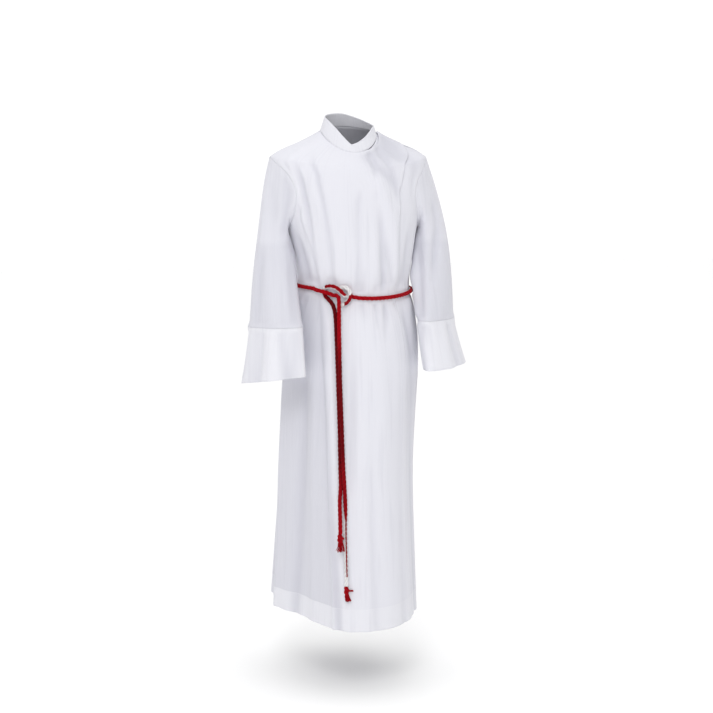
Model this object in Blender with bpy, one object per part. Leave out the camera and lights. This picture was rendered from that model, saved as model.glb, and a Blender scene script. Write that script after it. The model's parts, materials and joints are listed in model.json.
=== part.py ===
"""A youth's front-wrap alb in its worn form, with the knotted cord tied round the waist.

Metres, +Z up. The wearer faces -Y and the wearer's left is +X. The origin is the middle of the
base of the neck, at the height where the shoulder seams meet the neckline.

Every panel is a thin wall on one body surface. That surface is a stack of stations, rings round
the body that are given by eight radii each. A place on it is (angle, level): the angle runs from
the centre front towards the wearer's left, and the level counts stations up from the hem.
"""
import math
from collections import namedtuple

import bmesh
import bpy
from mathutils import Vector

# ---------------------------------------------------------------- driving sizes
CLOTH = 0.0020              # wall of one layer of cloth
DOUBLED = 0.0030            # wall where the cloth is turned up double: hem and cuffs
SEAM = 0.0003               # gap left between two pieces that are sewn together
LAYER_GAP = 0.0008          # air between the two lapped fronts
HEM_DEPTH = 0.050           # depth of the turned-up hem
EDGE_LIFT = 0.0030          # how far the free front edge stands away
EDGE_LIFT_REACH = 0.016     # how quickly that lift dies away from the edge
EDGE_HELD = 1.0             # levels either side of the waist where the cord holds it flat
PLEAT_STEP = 0.0045         # width of the turn under a pleat's edge

ROPE_DIAMETER = 0.0075
ROPE_RADIUS = ROPE_DIAMETER / 2
ROPE_SIDES_RESOLUTION = 2   # eight sides round each rope
ROPE_REST = 0.0008          # air between a rope and the cloth it lies on

ARMHOLE_ROWS = 10           # rows of the body between the underarm and the shoulder tip
SLEEVE_COLUMNS = 2 * ARMHOLE_ROWS
ARMHOLE_CUT = math.radians(27)   # how far the armhole cuts in from the side line

RIGHT = math.radians(-90)
LEFT = math.radians(90)
EIGHTH = math.radians(45)

# ---------------------------------------------------------------- the body's stations
# Heights at the front, left, back and right, the ring's centre, and eight radii from it.
Station = namedtuple("Station", "name z_front z_left z_back z_right centre_x centre_y "
                     "front front_left left back_left back back_right right front_right")
STATIONS = (
    Station("hem", -1.087, -1.084, -1.072, -1.070, -0.010, 0.020,
            0.2235, 0.186, 0.158, 0.186, 0.198, 0.176, 0.152, 0.152),
    Station("calf", -0.930, -0.930, -0.926, -0.926, -0.008, 0.014,
            0.206, 0.172, 0.152, 0.175, 0.184, 0.168, 0.149, 0.148),
    Station("knee", -0.750, -0.750, -0.750, -0.750, -0.006, 0.008,
            0.183, 0.160, 0.146, 0.161, 0.168, 0.159, 0.147, 0.147),
    Station("thigh", -0.600, -0.600, -0.600, -0.600, 0.000, 0.002,
            0.163, 0.154, 0.149, 0.153, 0.155, 0.151, 0.146, 0.147),
    Station("hip", -0.490, -0.490, -0.490, -0.490, 0.003, -0.004,
            0.145, 0.149, 0.154, 0.150, 0.145, 0.149, 0.147, 0.142),
    Station("below waist", -0.410, -0.410, -0.410, -0.410, 0.002, -0.014,
            0.121, 0.131, 0.144, 0.136, 0.120, 0.132, 0.134, 0.124),
    Station("waist", -0.357, -0.352, -0.340, -0.339, 0.002, -0.020,
            0.107, 0.115, 0.132, 0.120, 0.104, 0.117, 0.121, 0.110),
    Station("above waist", -0.318, -0.316, -0.310, -0.310, 0.002, -0.020,
            0.113, 0.123, 0.133, 0.126, 0.112, 0.122, 0.122, 0.116),
    Station("ribs", -0.265, -0.265, -0.265, -0.265, 0.002, -0.022,
            0.112, 0.126, 0.141, 0.130, 0.117, 0.126, 0.127, 0.118),
    Station("underarm", -0.215, -0.215, -0.215, -0.215, 0.001, -0.018,
            0.111, 0.128, 0.151, 0.134, 0.118, 0.132, 0.142, 0.124),
    Station("chest", -0.138, -0.130, -0.130, -0.130, 0.000, -0.010,
            0.110, 0.134, 0.168, 0.139, 0.120, 0.139, 0.166, 0.133),
    Station("shoulder tip", -0.084, -0.056, -0.062, -0.056, 0.000, -0.004,
            0.100, 0.122, 0.178, 0.129, 0.112, 0.129, 0.178, 0.122),
    Station("shoulder", -0.064, -0.028, -0.030, -0.028, 0.000, -0.003,
            0.083, 0.094, 0.119, 0.102, 0.090, 0.102, 0.119, 0.094),
    Station("neck", -0.047, -0.002, 0.010, -0.002, 0.000, -0.003,
            0.064, 0.064, 0.064, 0.062, 0.060, 0.062, 0.064, 0.064),
)
LEVEL = {station.name: level for level, station in enumerate(STATIONS)}
HALF_ROWS_ABOVE = tuple(LEVEL[name] for name in ("calf", "knee", "below waist", "waist"))
UNDERARM = LEVEL["underarm"]
TIP = LEVEL["shoulder tip"]
SHOULDER = LEVEL["shoulder"]
NECK = LEVEL["neck"]
NECK_DIP_POWER = 1.3        # how sharply the neckline falls from the shoulder to the front

# ---------------------------------------------------------------- pleats and folds
# Each line runs down the body. Its stops are (height, angle in degrees, share of the depth).
Fold = namedtuple("Fold", "name kind width depth stops")
FOLDS = (
    Fold("shoulder pleat", "pleat", 0.030, 0.0050,
         ((-0.010, -74, 0.3), (-0.070, -71, 0.8), (-0.160, -66, 1.0), (-0.250, -59, 0.8),
          (-0.350, -50, 0.15), (-0.420, -44, 1.2), (-0.560, -33, 1.7), (-0.760, -26, 1.8),
          (-0.930, -22, 1.8), (-1.090, -19, 1.8))),
    Fold("chest pleat", "pleat", 0.030, 0.0045,
         ((0.000, -60, 0.2), (-0.060, -52, 0.8), (-0.130, -44, 1.0), (-0.250, -37, 0.8),
          (-0.350, -34, 0.15), (-0.440, -14, 0.0), (-1.090, -14, 0.0))),
    Fold("right side drape", "ridge", 0.034, 0.0080,
         ((-0.400, -96, 0.0), (-0.560, -88, 0.8), (-0.800, -82, 1.0), (-1.090, -78, 1.3))),
    Fold("right side hollow", "trough", 0.026, 0.0070,
         ((-0.400, -66, 0.0), (-0.560, -60, 0.7), (-0.800, -55, 1.0), (-1.090, -50, 1.1))),
    Fold("lap hollow", "trough", 0.014, 0.0035,
         ((-0.420, 6, 0.0), (-0.620, 6, 0.6), (-0.900, 9, 1.0), (-1.090, 12, 0.8))),
    Fold("left skirt fold", "ridge", 0.028, 0.0070,
         ((-0.390, 62, 0.0), (-0.520, 66, 0.9), (-0.800, 68, 1.0), (-1.090, 70, 1.2))),
    Fold("left side hollow", "trough", 0.030, 0.0070,
         ((-0.400, 98, 0.0), (-0.600, 98, 0.8), (-0.900, 98, 1.0), (-1.090, 98, 1.2))),
    Fold("blouse fold left", "trough", 0.018, 0.0050,
         ((-0.120, 22, 0.0), (-0.200, 24, 0.5), (-0.290, 27, 1.0), (-0.350, 29, 0.3),
          (-0.400, 30, 0.0))),
    Fold("neck fold high", "trough", 0.013, 0.0050,
         ((-0.028, 62, 0.0), (-0.052, 55, 1.0), (-0.085, 50, 0.9), (-0.150, 43, 0.0))),
    Fold("neck fold low", "trough", 0.015, 0.0045,
         ((-0.040, 34, 0.0), (-0.060, 36, 1.0), (-0.110, 36, 0.8), (-0.190, 32, 0.0))),
    Fold("back middle fold", "ridge", 0.030, 0.0090,
         ((-0.300, 178, 0.0), (-0.480, 178, 0.8), (-0.760, 178, 1.1), (-1.090, 178, 1.5))),
    Fold("back left hollow", "trough", 0.026, 0.0090,
         ((-0.380, 158, 0.0), (-0.520, 157, 0.8), (-0.800, 155, 1.1), (-1.090, 154, 1.4))),
    Fold("back left fold", "ridge", 0.028, 0.0090,
         ((-0.380, 137, 0.0), (-0.560, 134, 0.8), (-0.820, 132, 1.0), (-1.090, 130, 1.5))),
    Fold("back right hollow", "trough", 0.028, 0.0090,
         ((-0.380, 199, 0.0), (-0.540, 201, 0.9), (-0.820, 203, 1.1), (-1.090, 204, 1.4))),
    Fold("back right fold", "ridge", 0.028, 0.0090,
         ((-0.380, 221, 0.0), (-0.540, 224, 0.7), (-0.800, 227, 1.0), (-1.090, 229, 1.5))),
    Fold("back shoulder fold left", "ridge", 0.020, 0.0045,
         ((-0.060, 142, 0.0), (-0.120, 146, 1.0), (-0.260, 150, 0.8), (-0.350, 153, 0.2),
          (-0.400, 153, 0.0))),
    Fold("back shoulder fold right", "ridge", 0.022, 0.0050,
         ((-0.060, 220, 0.0), (-0.130, 215, 1.0), (-0.270, 211, 0.8), (-0.350, 208, 0.2),
          (-0.400, 208, 0.0))),
)
NECK_FADE = 0.5             # levels over which every fold dies out below the neck seam
PLEATS = {fold.name: fold for fold in FOLDS if fold.kind == "pleat"}

# The free edge of the outer front: (level, angle in degrees).
FREE_EDGE = ((LEVEL["hem"], 42), (LEVEL["thigh"], 43), (LEVEL["waist"], 43),
             (LEVEL["underarm"], 43), (LEVEL["chest"], 44), (TIP, 57), (SHOULDER, 90),
             (NECK, 90))
UNDER_EDGE = math.radians(-5)       # free edge of the inner front, a little past the middle
UNDER_RISE_START = math.radians(4)  # past the outer front's edge the inner front comes forward
UNDER_RISE = math.radians(14)
UNDER_STRIP = math.radians(3)       # the least width of it that reaches past the outer front
LAP_COLUMNS = 9                     # columns that the two fronts share where they lap

# Where the outer front's neckline stands clear of the collar on the wearer's left.
OPEN_NECK = ((26, 0.0), (40, 0.20), (62, 0.22), (80, 0.08), (90, 0.0))

# ---------------------------------------------------------------- sleeves
# Rings across the sleeve, seen from above: the centre, half the long and short way across, how
# the long way is turned from across the body, and how much its front end is raised.
SleeveRing = namedtuple("SleeveRing", "name out forward height long short turn raise_front")
SLEEVES = {
    "right": (
        SleeveRing("upper arm", 0.1745, 0.020, -0.258, 0.041, 0.037, 30, 0.000),
        SleeveRing("elbow", 0.1795, 0.048, -0.345, 0.057, 0.037, 42, 0.001),
        SleeveRing("cuff seam", 0.1838, 0.075, -0.424, 0.069, 0.036, 45, 0.002),
        SleeveRing("cuff middle", 0.1900, 0.090, -0.480, 0.076, 0.035, 45, 0.006),
        SleeveRing("wrist", 0.1976, 0.105, -0.537, 0.085, 0.034, 45, 0.012)),
    "left": (
        SleeveRing("upper arm", 0.1900, 0.020, -0.258, 0.042, 0.036, 30, 0.000),
        SleeveRing("elbow", 0.1885, 0.040, -0.345, 0.058, 0.036, 42, 0.000),
        SleeveRing("cuff seam", 0.1886, 0.060, -0.418, 0.069, 0.031, 45, 0.000),
        SleeveRing("cuff middle", 0.1950, 0.072, -0.470, 0.076, 0.032, 45, -0.002),
        SleeveRing("wrist", 0.2029, 0.085, -0.521, 0.085, 0.033, 45, -0.004)),
}
SLEEVE_CAP_ROWS = 5         # rows between the armhole and the upper arm
SLEEVE_ROWS = 3             # rows in each stretch below
CAP_FULLNESS = 0.62         # how roundly the sleeve leaves the armhole
CAP_LANDING = 1.05          # how steeply it comes down on the upper arm
UNDERARM_PUSH = 0.9         # how far the turn under the arm leans away from the body

# ---------------------------------------------------------------- collar
# One band that starts under the front lap, goes round the back and ends on top of the lap.
# (angle in degrees from the centre front, height of the band, layer: 0 outside, 1 underneath)
COLLAR = ((-26, 0.014, 1.0), (-9, 0.018, 1.0), (0, 0.021, 1.0), (21, 0.027, 1.0),
          (42, 0.029, 1.0), (62, 0.026, 0.9), (90, 0.015, 0.3), (120, 0.018, 0.0),
          (180, 0.030, 0.0), (240, 0.034, 0.0), (270, 0.033, 0.0), (300, 0.038, 0.0),
          (318, 0.037, 0.0), (336, 0.029, 0.0), (351, 0.018, 0.0), (362, 0.010, 0.0),
          (374, 0.003, 0.0))
COLLAR_COLUMNS = 72
COLLAR_SEAM = 0.0005
COLLAR_ROWS = 3
COLLAR_LEAN = 0.32          # inward lean for each unit of height

# ---------------------------------------------------------------- the tied cord
# Where the cord lies against the waist ring, in levels, at the eight angles, front first.
WAIST_LEVELS = (-0.10, -0.12, 0.0, 0.0, 0.0, 0.0, 0.0, 0.13)
WAIST_REST = 0.0015         # air under the cord round the waist
WAIST_FROM = math.radians(-3)
WAIST_TO = math.radians(299)
WAIST_PLACES = 40
ROPE_STEP = 0.024           # the longest straight piece in a rope's route
ROPE_TURN = math.radians(24)     # the most it turns at one point

# The cord passes these places across the body. above is how far it is lifted off the cloth.
RopePlace = namedtuple("RopePlace", "x height above")
# From the waist on the wearer's left: under the keeper, in an arc over the top, down behind the
# other end and then down the skirt.
SHORT_END = (
    RopePlace(-0.0155, -0.3592, 0.0003), RopePlace(-0.0283, -0.3573, 0.0000),
    RopePlace(-0.0353, -0.3567, 0.0030), RopePlace(-0.0398, -0.3523, 0.0075),
    RopePlace(-0.0453, -0.3422, 0.0084), RopePlace(-0.0529, -0.3340, 0.0084),
    RopePlace(-0.0621, -0.3308, 0.0070), RopePlace(-0.0711, -0.3337, 0.0040),
    RopePlace(-0.0761, -0.3418, 0.0008), RopePlace(-0.0768, -0.3506, 0.0000),
    RopePlace(-0.0737, -0.3592, 0.0000), RopePlace(-0.0680, -0.3665, 0.0000),
    RopePlace(-0.0626, -0.3750, 0.0000), RopePlace(-0.0594, -0.3870, 0.0000),
    RopePlace(-0.0584, -0.4000, 0.0000), RopePlace(-0.0578, -0.4400, 0.0000),
    RopePlace(-0.0572, -0.5328, 0.0000), RopePlace(-0.0557, -0.6369, 0.0000),
    RopePlace(-0.0557, -0.6890, 0.0000), RopePlace(-0.0556, -0.7412, 0.0000),
    RopePlace(-0.0554, -0.7714, 0.0013), RopePlace(-0.0560, -0.8015, 0.0052),
    RopePlace(-0.0549, -0.8358, 0.0090), RopePlace(-0.0541, -0.8714, 0.0118))
# From the waist on the wearer's right: over the other end, then down in front of it.
LONG_END = (
    RopePlace(-0.0885, -0.3440, 0.0048), RopePlace(-0.0762, -0.3459, 0.0088),
    RopePlace(-0.0670, -0.3501, 0.0074), RopePlace(-0.0597, -0.3543, 0.0050),
    RopePlace(-0.0527, -0.3553, 0.0052), RopePlace(-0.0491, -0.3617, 0.0072),
    RopePlace(-0.0490, -0.3740, 0.0086), RopePlace(-0.0499, -0.3898, 0.0080),
    RopePlace(-0.0508, -0.4086, 0.0068), RopePlace(-0.0520, -0.4500, 0.0062),
    RopePlace(-0.0523, -0.5324, 0.0062), RopePlace(-0.0505, -0.6362, 0.0064),
    RopePlace(-0.0500, -0.6752, 0.0060), RopePlace(-0.0496, -0.7144, 0.0050),
    RopePlace(-0.0492, -0.7406, 0.0042), RopePlace(-0.0486, -0.7713, 0.0024),
    RopePlace(-0.0484, -0.8019, 0.0006), RopePlace(-0.0487, -0.8324, 0.0000),
    RopePlace(-0.0493, -0.8716, 0.0000), RopePlace(-0.0492, -0.9109, 0.0000),
    RopePlace(-0.0489, -0.9500, 0.0010), RopePlace(-0.0482, -0.9850, 0.0030))
# The keeper: a turn of the cord that rings the knot, with both ends tucked behind it.
KEEPER = (
    RopePlace(-0.0510, -0.3452, 0.0000), RopePlace(-0.0490, -0.3395, 0.0000),
    RopePlace(-0.0423, -0.3350, 0.0005), RopePlace(-0.0342, -0.3363, 0.0040),
    RopePlace(-0.0288, -0.3423, 0.0074), RopePlace(-0.0274, -0.3546, 0.0086),
    RopePlace(-0.0308, -0.3660, 0.0070), RopePlace(-0.0381, -0.3730, 0.0030),
    RopePlace(-0.0473, -0.3757, 0.0000), RopePlace(-0.0520, -0.3745, 0.0000))

# The knot at each end: (share of its length, share of its half width).
KNOT_PROFILE = ((0.0, 0.44), (0.08, 0.66), (0.25, 0.93), (0.45, 1.0), (0.65, 0.90),
                (0.85, 0.62), (1.0, 0.60))
KNOT_FLATNESS = 0.72        # its depth for its width
TUFT_STRANDS = 12
TUFT_STEPS = 3
STRAND_PARTING = 0.0003     # half the gap between two strands at their roots
# How long and half how wide each knot is, how long the frayed tuft below is, and its spread.
EndKnot = namedtuple("EndKnot", "name length half_width tuft spread")
KNOT_SHORT = EndKnot("end_knot_short", 0.0180, 0.0092, 0.0240, 1.60)
KNOT_LONG = EndKnot("end_knot_long", 0.0200, 0.0075, 0.0170, 1.60)

PALE_LINEN = (0.80, 0.80, 0.83, 1.0)
CORD_RED = (0.42, 0.012, 0.022, 1.0)


# ---------------------------------------------------------------- small mathematics
def hermite_between(before, start, end, after, share):
    """A smooth value between start and end, which leans on its neighbours."""
    slope_start = (end - before) / 2
    slope_end = (after - start) / 2
    share_2 = share * share
    share_3 = share_2 * share
    return (start * (2 * share_3 - 3 * share_2 + 1) + slope_start * (share_3 - 2 * share_2 + share)
            + end * (3 * share_2 - 2 * share_3) + slope_end * (share_3 - share_2))


def round_the_ring(values, angle):
    """A smooth value at an angle, from eight values given every 45 degrees."""
    place = (angle / EIGHTH) % 8
    first = int(place) % 8
    before, start, end, after = (values[(first + step) % 8] for step in (-1, 0, 1, 2))
    return hermite_between(before, start, end, after, place - int(place))


def along(stops, place):
    """A value from (place, value) stops in rising or falling order, held past the ends."""
    ordered = stops if stops[0][0] < stops[-1][0] else tuple(reversed(stops))
    if place <= ordered[0][0]:
        return ordered[0][1]
    for (low, value_low), (high, value_high) in zip(ordered, ordered[1:]):
        if place <= high:
            share = (place - low) / (high - low)
            return value_low + (value_high - value_low) * share
    return ordered[-1][1]


def ease(share):
    """A soft ramp from 0 to 1."""
    share = min(max(share, 0.0), 1.0)
    return share * share * (3 - 2 * share)


# ---------------------------------------------------------------- the body surface
def station_at(level):
    """The numbers of the ring at a level, between the stations of the table."""
    level = min(max(level, 0.0), NECK)
    first = min(int(level), NECK - 1)
    rows = [STATIONS[min(max(first + step, 0), NECK)][1:] for step in (-1, 0, 1, 2)]
    return [hermite_between(*column, level - first) for column in zip(*rows)]


def plain_point(angle, level):
    """A point of the body surface without its folds."""
    numbers = station_at(level)
    z_front, z_left, z_back, z_right, centre_x, centre_y = numbers[:6]
    radius = round_the_ring(numbers[6:], angle)
    sine = math.sin(angle)
    cosine = math.cos(angle)
    side = z_left if sine > 0 else z_right
    end = z_front if cosine > 0 else z_back
    height = side + (end - side) * abs(cosine) ** NECK_DIP_POWER
    return Vector((centre_x + radius * sine, centre_y - radius * cosine, height))


def plain_normal(angle, level):
    """The outward direction of the body surface without its folds."""
    step = 0.01
    across = plain_point(angle + step, level) - plain_point(angle - step, level)
    upward = plain_point(angle, min(level + step, NECK)) - plain_point(angle, level - step)
    return across.cross(upward).normalized()


def fold_height(angle, level):
    """How far all folds together lift the cloth at a place."""
    point = plain_point(angle, level)
    numbers = station_at(level)
    radius = round_the_ring(numbers[6:], angle)
    total = 0.0
    fade = 1 - ease((level - (NECK - NECK_FADE)) / NECK_FADE)
    for fold in FOLDS:
        line = math.radians(along([stop[:2] for stop in fold.stops], point.z))
        share = along([(stop[0], stop[2]) for stop in fold.stops], point.z)
        turn = (angle - line + math.pi) % (2 * math.pi) - math.pi
        total += fold.depth * share * fold_profile(fold, turn * radius)
    return total * fade


def fold_profile(fold, distance):
    """The shape across one fold, from 0 to 1, or down to -1 for a trough."""
    if fold.kind == "pleat":
        if distance < 0:
            return ease(1 + distance / PLEAT_STEP)
        return math.exp(-(distance / fold.width) ** 2)
    hump = math.exp(-(distance / fold.width) ** 2)
    return hump if fold.kind == "ridge" else -hump


def cloth_point(angle, level, lift=0.0):
    """A point of the folded cloth, moved out by lift."""
    return (plain_point(angle, level)
            + plain_normal(angle, level) * (fold_height(angle, level) + lift))


def pleat_angle(name, level):
    """The angle of a pleat's edge at a level."""
    height = plain_point(-EIGHTH, level).z
    return math.radians(along([stop[:2] for stop in PLEATS[name].stops], height))


def pleat_turn(level):
    """The angle that the turn under a pleat takes up."""
    return PLEAT_STEP / station_at(level)[13]


def armhole_angle(level):
    """Where the armhole cuts the body, as an angle from the centre front."""
    if UNDERARM < level < TIP:
        share = (level - UNDERARM) / (TIP - UNDERARM)
        return LEFT - ARMHOLE_CUT * math.sin(math.pi * share) ** 0.8
    return LEFT


def free_edge_angle(level):
    """The angle of the outer front's free edge at a level."""
    return math.radians(along(FREE_EDGE, level))


def seam_turn(level, angle):
    """The angle that half a seam gap takes up."""
    return SEAM / 2 / round_the_ring(station_at(level)[6:], angle)


def body_levels():
    """The levels of the rows, from the hem to the neck."""
    hem_share = HEM_DEPTH / (STATIONS[1].z_front - STATIONS[0].z_front)
    levels = [0.0, hem_share / 2, hem_share, (1 + hem_share) / 2]
    for level in range(1, UNDERARM):
        levels.append(float(level))
        if level in HALF_ROWS_ABOVE:
            levels.append(level + 0.5)
    for row in range(ARMHOLE_ROWS + 1):
        share = (1 - math.cos(math.pi * row / ARMHOLE_ROWS)) / 2
        levels.append(UNDERARM + (TIP - UNDERARM) * share)
    return levels + [TIP + 0.5, float(SHOULDER), SHOULDER + 0.5, float(NECK)]


def wall_at(level):
    """The thickness of the wall: double cloth in the hem."""
    top_of_hem = HEM_DEPTH / (STATIONS[1].z_front - STATIONS[0].z_front)
    return DOUBLED if level <= top_of_hem + 0.001 else CLOTH


# ---------------------------------------------------------------- mesh makers
def new_object(name, bm, colour, roughness):
    """Turn a bmesh into a named object with a material of its own."""
    mesh = bpy.data.meshes.new(name)
    bm.to_mesh(mesh)
    bm.free()
    obj = bpy.data.objects.new(name, mesh)
    bpy.context.scene.collection.objects.link(obj)
    obj.data.materials.append(new_material(name, colour, roughness))
    mesh.shade_smooth()
    mesh.set_sharp_from_angle(angle=math.radians(50))
    return obj


def new_material(name, colour, roughness):
    """A plain finish for one piece."""
    material = bpy.data.materials.new(name)
    material.use_nodes = True
    shader = material.node_tree.nodes["Principled BSDF"]
    shader.inputs["Base Color"].default_value = colour
    shader.inputs["Roughness"].default_value = roughness
    shader.inputs["Metallic"].default_value = 0.0
    return material


def wall_from_grids(name, outer, inner, closed):
    """Join an outer and an inner grid of points into one closed wall.

    closed says that the last column meets the first, as round a sleeve.
    """
    bm = bmesh.new()
    outside = [[bm.verts.new(point) for point in row] for row in outer]
    inside = [[bm.verts.new(point) for point in row] for row in inner]
    rows = len(outside)
    columns = len(outside[0])
    spans = [(column, (column + 1) % columns) for column in range(columns if closed else columns - 1)]
    for row in range(rows - 1):
        for left, right in spans:
            bm.faces.new((outside[row][left], outside[row][right],
                          outside[row + 1][right], outside[row + 1][left]))
            bm.faces.new((inside[row][left], inside[row + 1][left],
                          inside[row + 1][right], inside[row][right]))
    for left, right in spans:
        bm.faces.new((outside[0][right], outside[0][left], inside[0][left], inside[0][right]))
        bm.faces.new((outside[-1][left], outside[-1][right], inside[-1][right], inside[-1][left]))
    if not closed:
        for row in range(rows - 1):
            bm.faces.new((outside[row][0], outside[row + 1][0],
                          inside[row + 1][0], inside[row][0]))
            bm.faces.new((outside[row + 1][-1], outside[row][-1],
                          inside[row][-1], inside[row + 1][-1]))
    bmesh.ops.recalc_face_normals(bm, faces=bm.faces)
    return new_object(name, bm, PALE_LINEN, 0.85)


def spread(marks, counts):
    """Angles between marks, with the given number of steps in each stretch."""
    angles = [marks[0]]
    for start, end, count in zip(marks, marks[1:], counts):
        angles += [start + (end - start) * (step + 1) / count for step in range(count)]
    return angles


def body_panel(name, marks_at, counts, lift_at, level_at=None):
    """A panel of the body.

    marks_at gives the angles of a row's guide lines, counts the columns between them, lift_at
    how far the layer is moved out, and level_at a corrected level near the neckline.
    """
    outer = []
    inner = []
    for level in body_levels():
        outer.append([])
        inner.append([])
        for angle in spread(marks_at(level), counts):
            place = level_at(angle, level) if level_at else level
            point = cloth_point(angle, place, lift_at(angle, place))
            outer[-1].append(point)
            inner[-1].append(point - plain_normal(angle, place) * wall_at(level))
    return wall_from_grids(name, outer, inner, closed=False)


# ---------------------------------------------------------------- the fronts and the back
def front_wrap_marks(level):
    """Guide lines of the outer front: side seam, both pleats, inner front's edge, free edge."""
    side = -armhole_angle(level) + seam_turn(level, RIGHT)
    turn = pleat_turn(level)
    outer_pleat = max(pleat_angle("shoulder pleat", level), side + 3 * turn)
    inner_pleat = max(pleat_angle("chest pleat", level), outer_pleat + 4 * turn)
    free = min(free_edge_angle(level), LEFT - seam_turn(level, LEFT))
    return (side, outer_pleat - turn, outer_pleat, inner_pleat - turn, inner_pleat,
            UNDER_EDGE, free)


FRONT_WRAP_COUNTS = (7, 1, 5, 1, 5, LAP_COLUMNS)


def front_wrap_lift(angle, level):
    """The outer front lies outermost and its free edge stands a little away."""
    radius = station_at(level)[7]
    distance = max(free_edge_angle(level) - angle, 0.0) * radius
    free = 1 - math.exp(-((level - LEVEL["waist"]) / EDGE_HELD) ** 2)
    return EDGE_LIFT * free * math.exp(-distance / EDGE_LIFT_REACH)


def open_neck_level(angle, level):
    """On the wearer's left the outer front stops short of the collar."""
    if level < NECK:
        return level
    return level - along([(math.radians(degrees), amount) for degrees, amount in OPEN_NECK],
                         angle)


def front_wrap():
    """The outer front: from the wearer's right side seam across to the left shoulder."""
    return body_panel("front_wrap", front_wrap_marks, FRONT_WRAP_COUNTS, front_wrap_lift,
                      open_neck_level)


def front_under_marks(level):
    """Guide lines of the inner front: its free edge, the outer front's edge, the side."""
    side = armhole_angle(level) - seam_turn(level, LEFT)
    free = min(free_edge_angle(level), side - UNDER_STRIP)
    return (UNDER_EDGE, free, free + (side - free) / 3, side)


FRONT_UNDER_COUNTS = (LAP_COLUMNS, 2, 3)


def front_under_lift(angle, level):
    """The inner front lies one layer deep and comes forward where it shows."""
    shown = ease((angle - free_edge_angle(level) - UNDER_RISE_START) / UNDER_RISE)
    shown *= 1 - ease((level - TIP) / (SHOULDER - TIP))
    return -(wall_at(level) + LAYER_GAP) * (1 - shown)


def front_under():
    """The inner front: from the wearer's left side seam to just past the middle."""
    return body_panel("front_under", front_under_marks, FRONT_UNDER_COUNTS, front_under_lift)


def back_marks(level):
    """Guide lines of the back: both side seams and the middle."""
    side = math.pi - armhole_angle(level) + seam_turn(level, LEFT)
    return (side, math.pi, 2 * math.pi - side)


BACK_COUNTS = (12, 12)


def back():
    """The back, from side seam to side seam."""
    return body_panel("back", back_marks, BACK_COUNTS, lambda angle, level: 0.0)


# ---------------------------------------------------------------- sleeves and cuffs
def armhole_loop(side):
    """The armhole's edge: for each column its outer point, inner point and way out.

    side is 1 for the wearer's left and -1 for the right. The loop starts at the shoulder tip
    and comes down the front.
    """
    places = []
    for column in range(SLEEVE_COLUMNS):
        turn = 2 * math.pi * column / SLEEVE_COLUMNS
        level = UNDERARM + (TIP - UNDERARM) * (1 + math.cos(turn)) / 2
        angle = armhole_angle(level)
        places.append((side * (angle if turn <= math.pi else math.pi - angle), level))
    points = [cloth_point(*place) for place in places]
    normals = [plain_normal(*place) for place in places]
    loop = []
    for column, point in enumerate(points):
        tangent = points[(column + 1) % SLEEVE_COLUMNS] - points[column - 1]
        way_out = tangent.cross(normals[column]).normalized() * -side
        loop.append((point + way_out * SEAM, point - normals[column] * CLOTH + way_out * SEAM,
                     way_out))
    return loop


def sleeve_ring(ring, side, drop=0.0):
    """The outer points of one ring across a sleeve, in the armhole's order."""
    centre = Vector((side * ring.out, -ring.forward, ring.height - drop))
    turn = math.radians(ring.turn)
    long_way = Vector((-side * math.cos(turn), -math.sin(turn), 0))
    short_way = Vector((-side * math.sin(turn), math.cos(turn), 0))
    points = []
    for column in range(SLEEVE_COLUMNS):
        angle = 2 * math.pi * column / SLEEVE_COLUMNS
        way = Vector((side * math.cos(angle), -math.sin(angle), 0))
        forward = way.dot(long_way)
        points.append(centre + long_way * (forward * ring.long)
                      + short_way * (way.dot(short_way) * ring.short)
                      + Vector((0, 0, ring.raise_front * forward)))
    return points


def blend_ring(rings, place):
    """A ring between the rings of a sleeve's table."""
    first = min(int(place), len(rings) - 2)
    rows = [rings[min(max(first + step, 0), len(rings) - 1)][1:] for step in (-1, 0, 1, 2)]
    return SleeveRing("between", *(hermite_between(*column, place - first)
                                   for column in zip(*rows)))


def inner_ring(points, wall):
    """The ring moved in towards its middle by the wall."""
    inner = []
    for column, point in enumerate(points):
        tangent = points[(column + 1) % len(points)] - points[column - 1]
        inward = Vector((-tangent.y, tangent.x, 0)).normalized()
        middle = sum(points, Vector()) / len(points)
        if inward.dot(middle - point) < 0:
            inward.negate()
        inner.append(point + inward * wall)
    return inner


def inner_wall(outer, first_inner, wall):
    """The inner points of a sleeve: the outer ones moved in along the surface's own normals."""
    inner = [first_inner]
    for row in range(1, len(outer)):
        below = outer[min(row + 1, len(outer) - 1)]
        above = outer[row - 1]
        inner.append([])
        for column, point in enumerate(outer[row]):
            around = outer[row][(column + 1) % SLEEVE_COLUMNS] - outer[row][column - 1]
            down = below[column] - above[column]
            inward = around.cross(down).normalized()
            inner[-1].append(point + inward * wall)
    return inner


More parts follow.
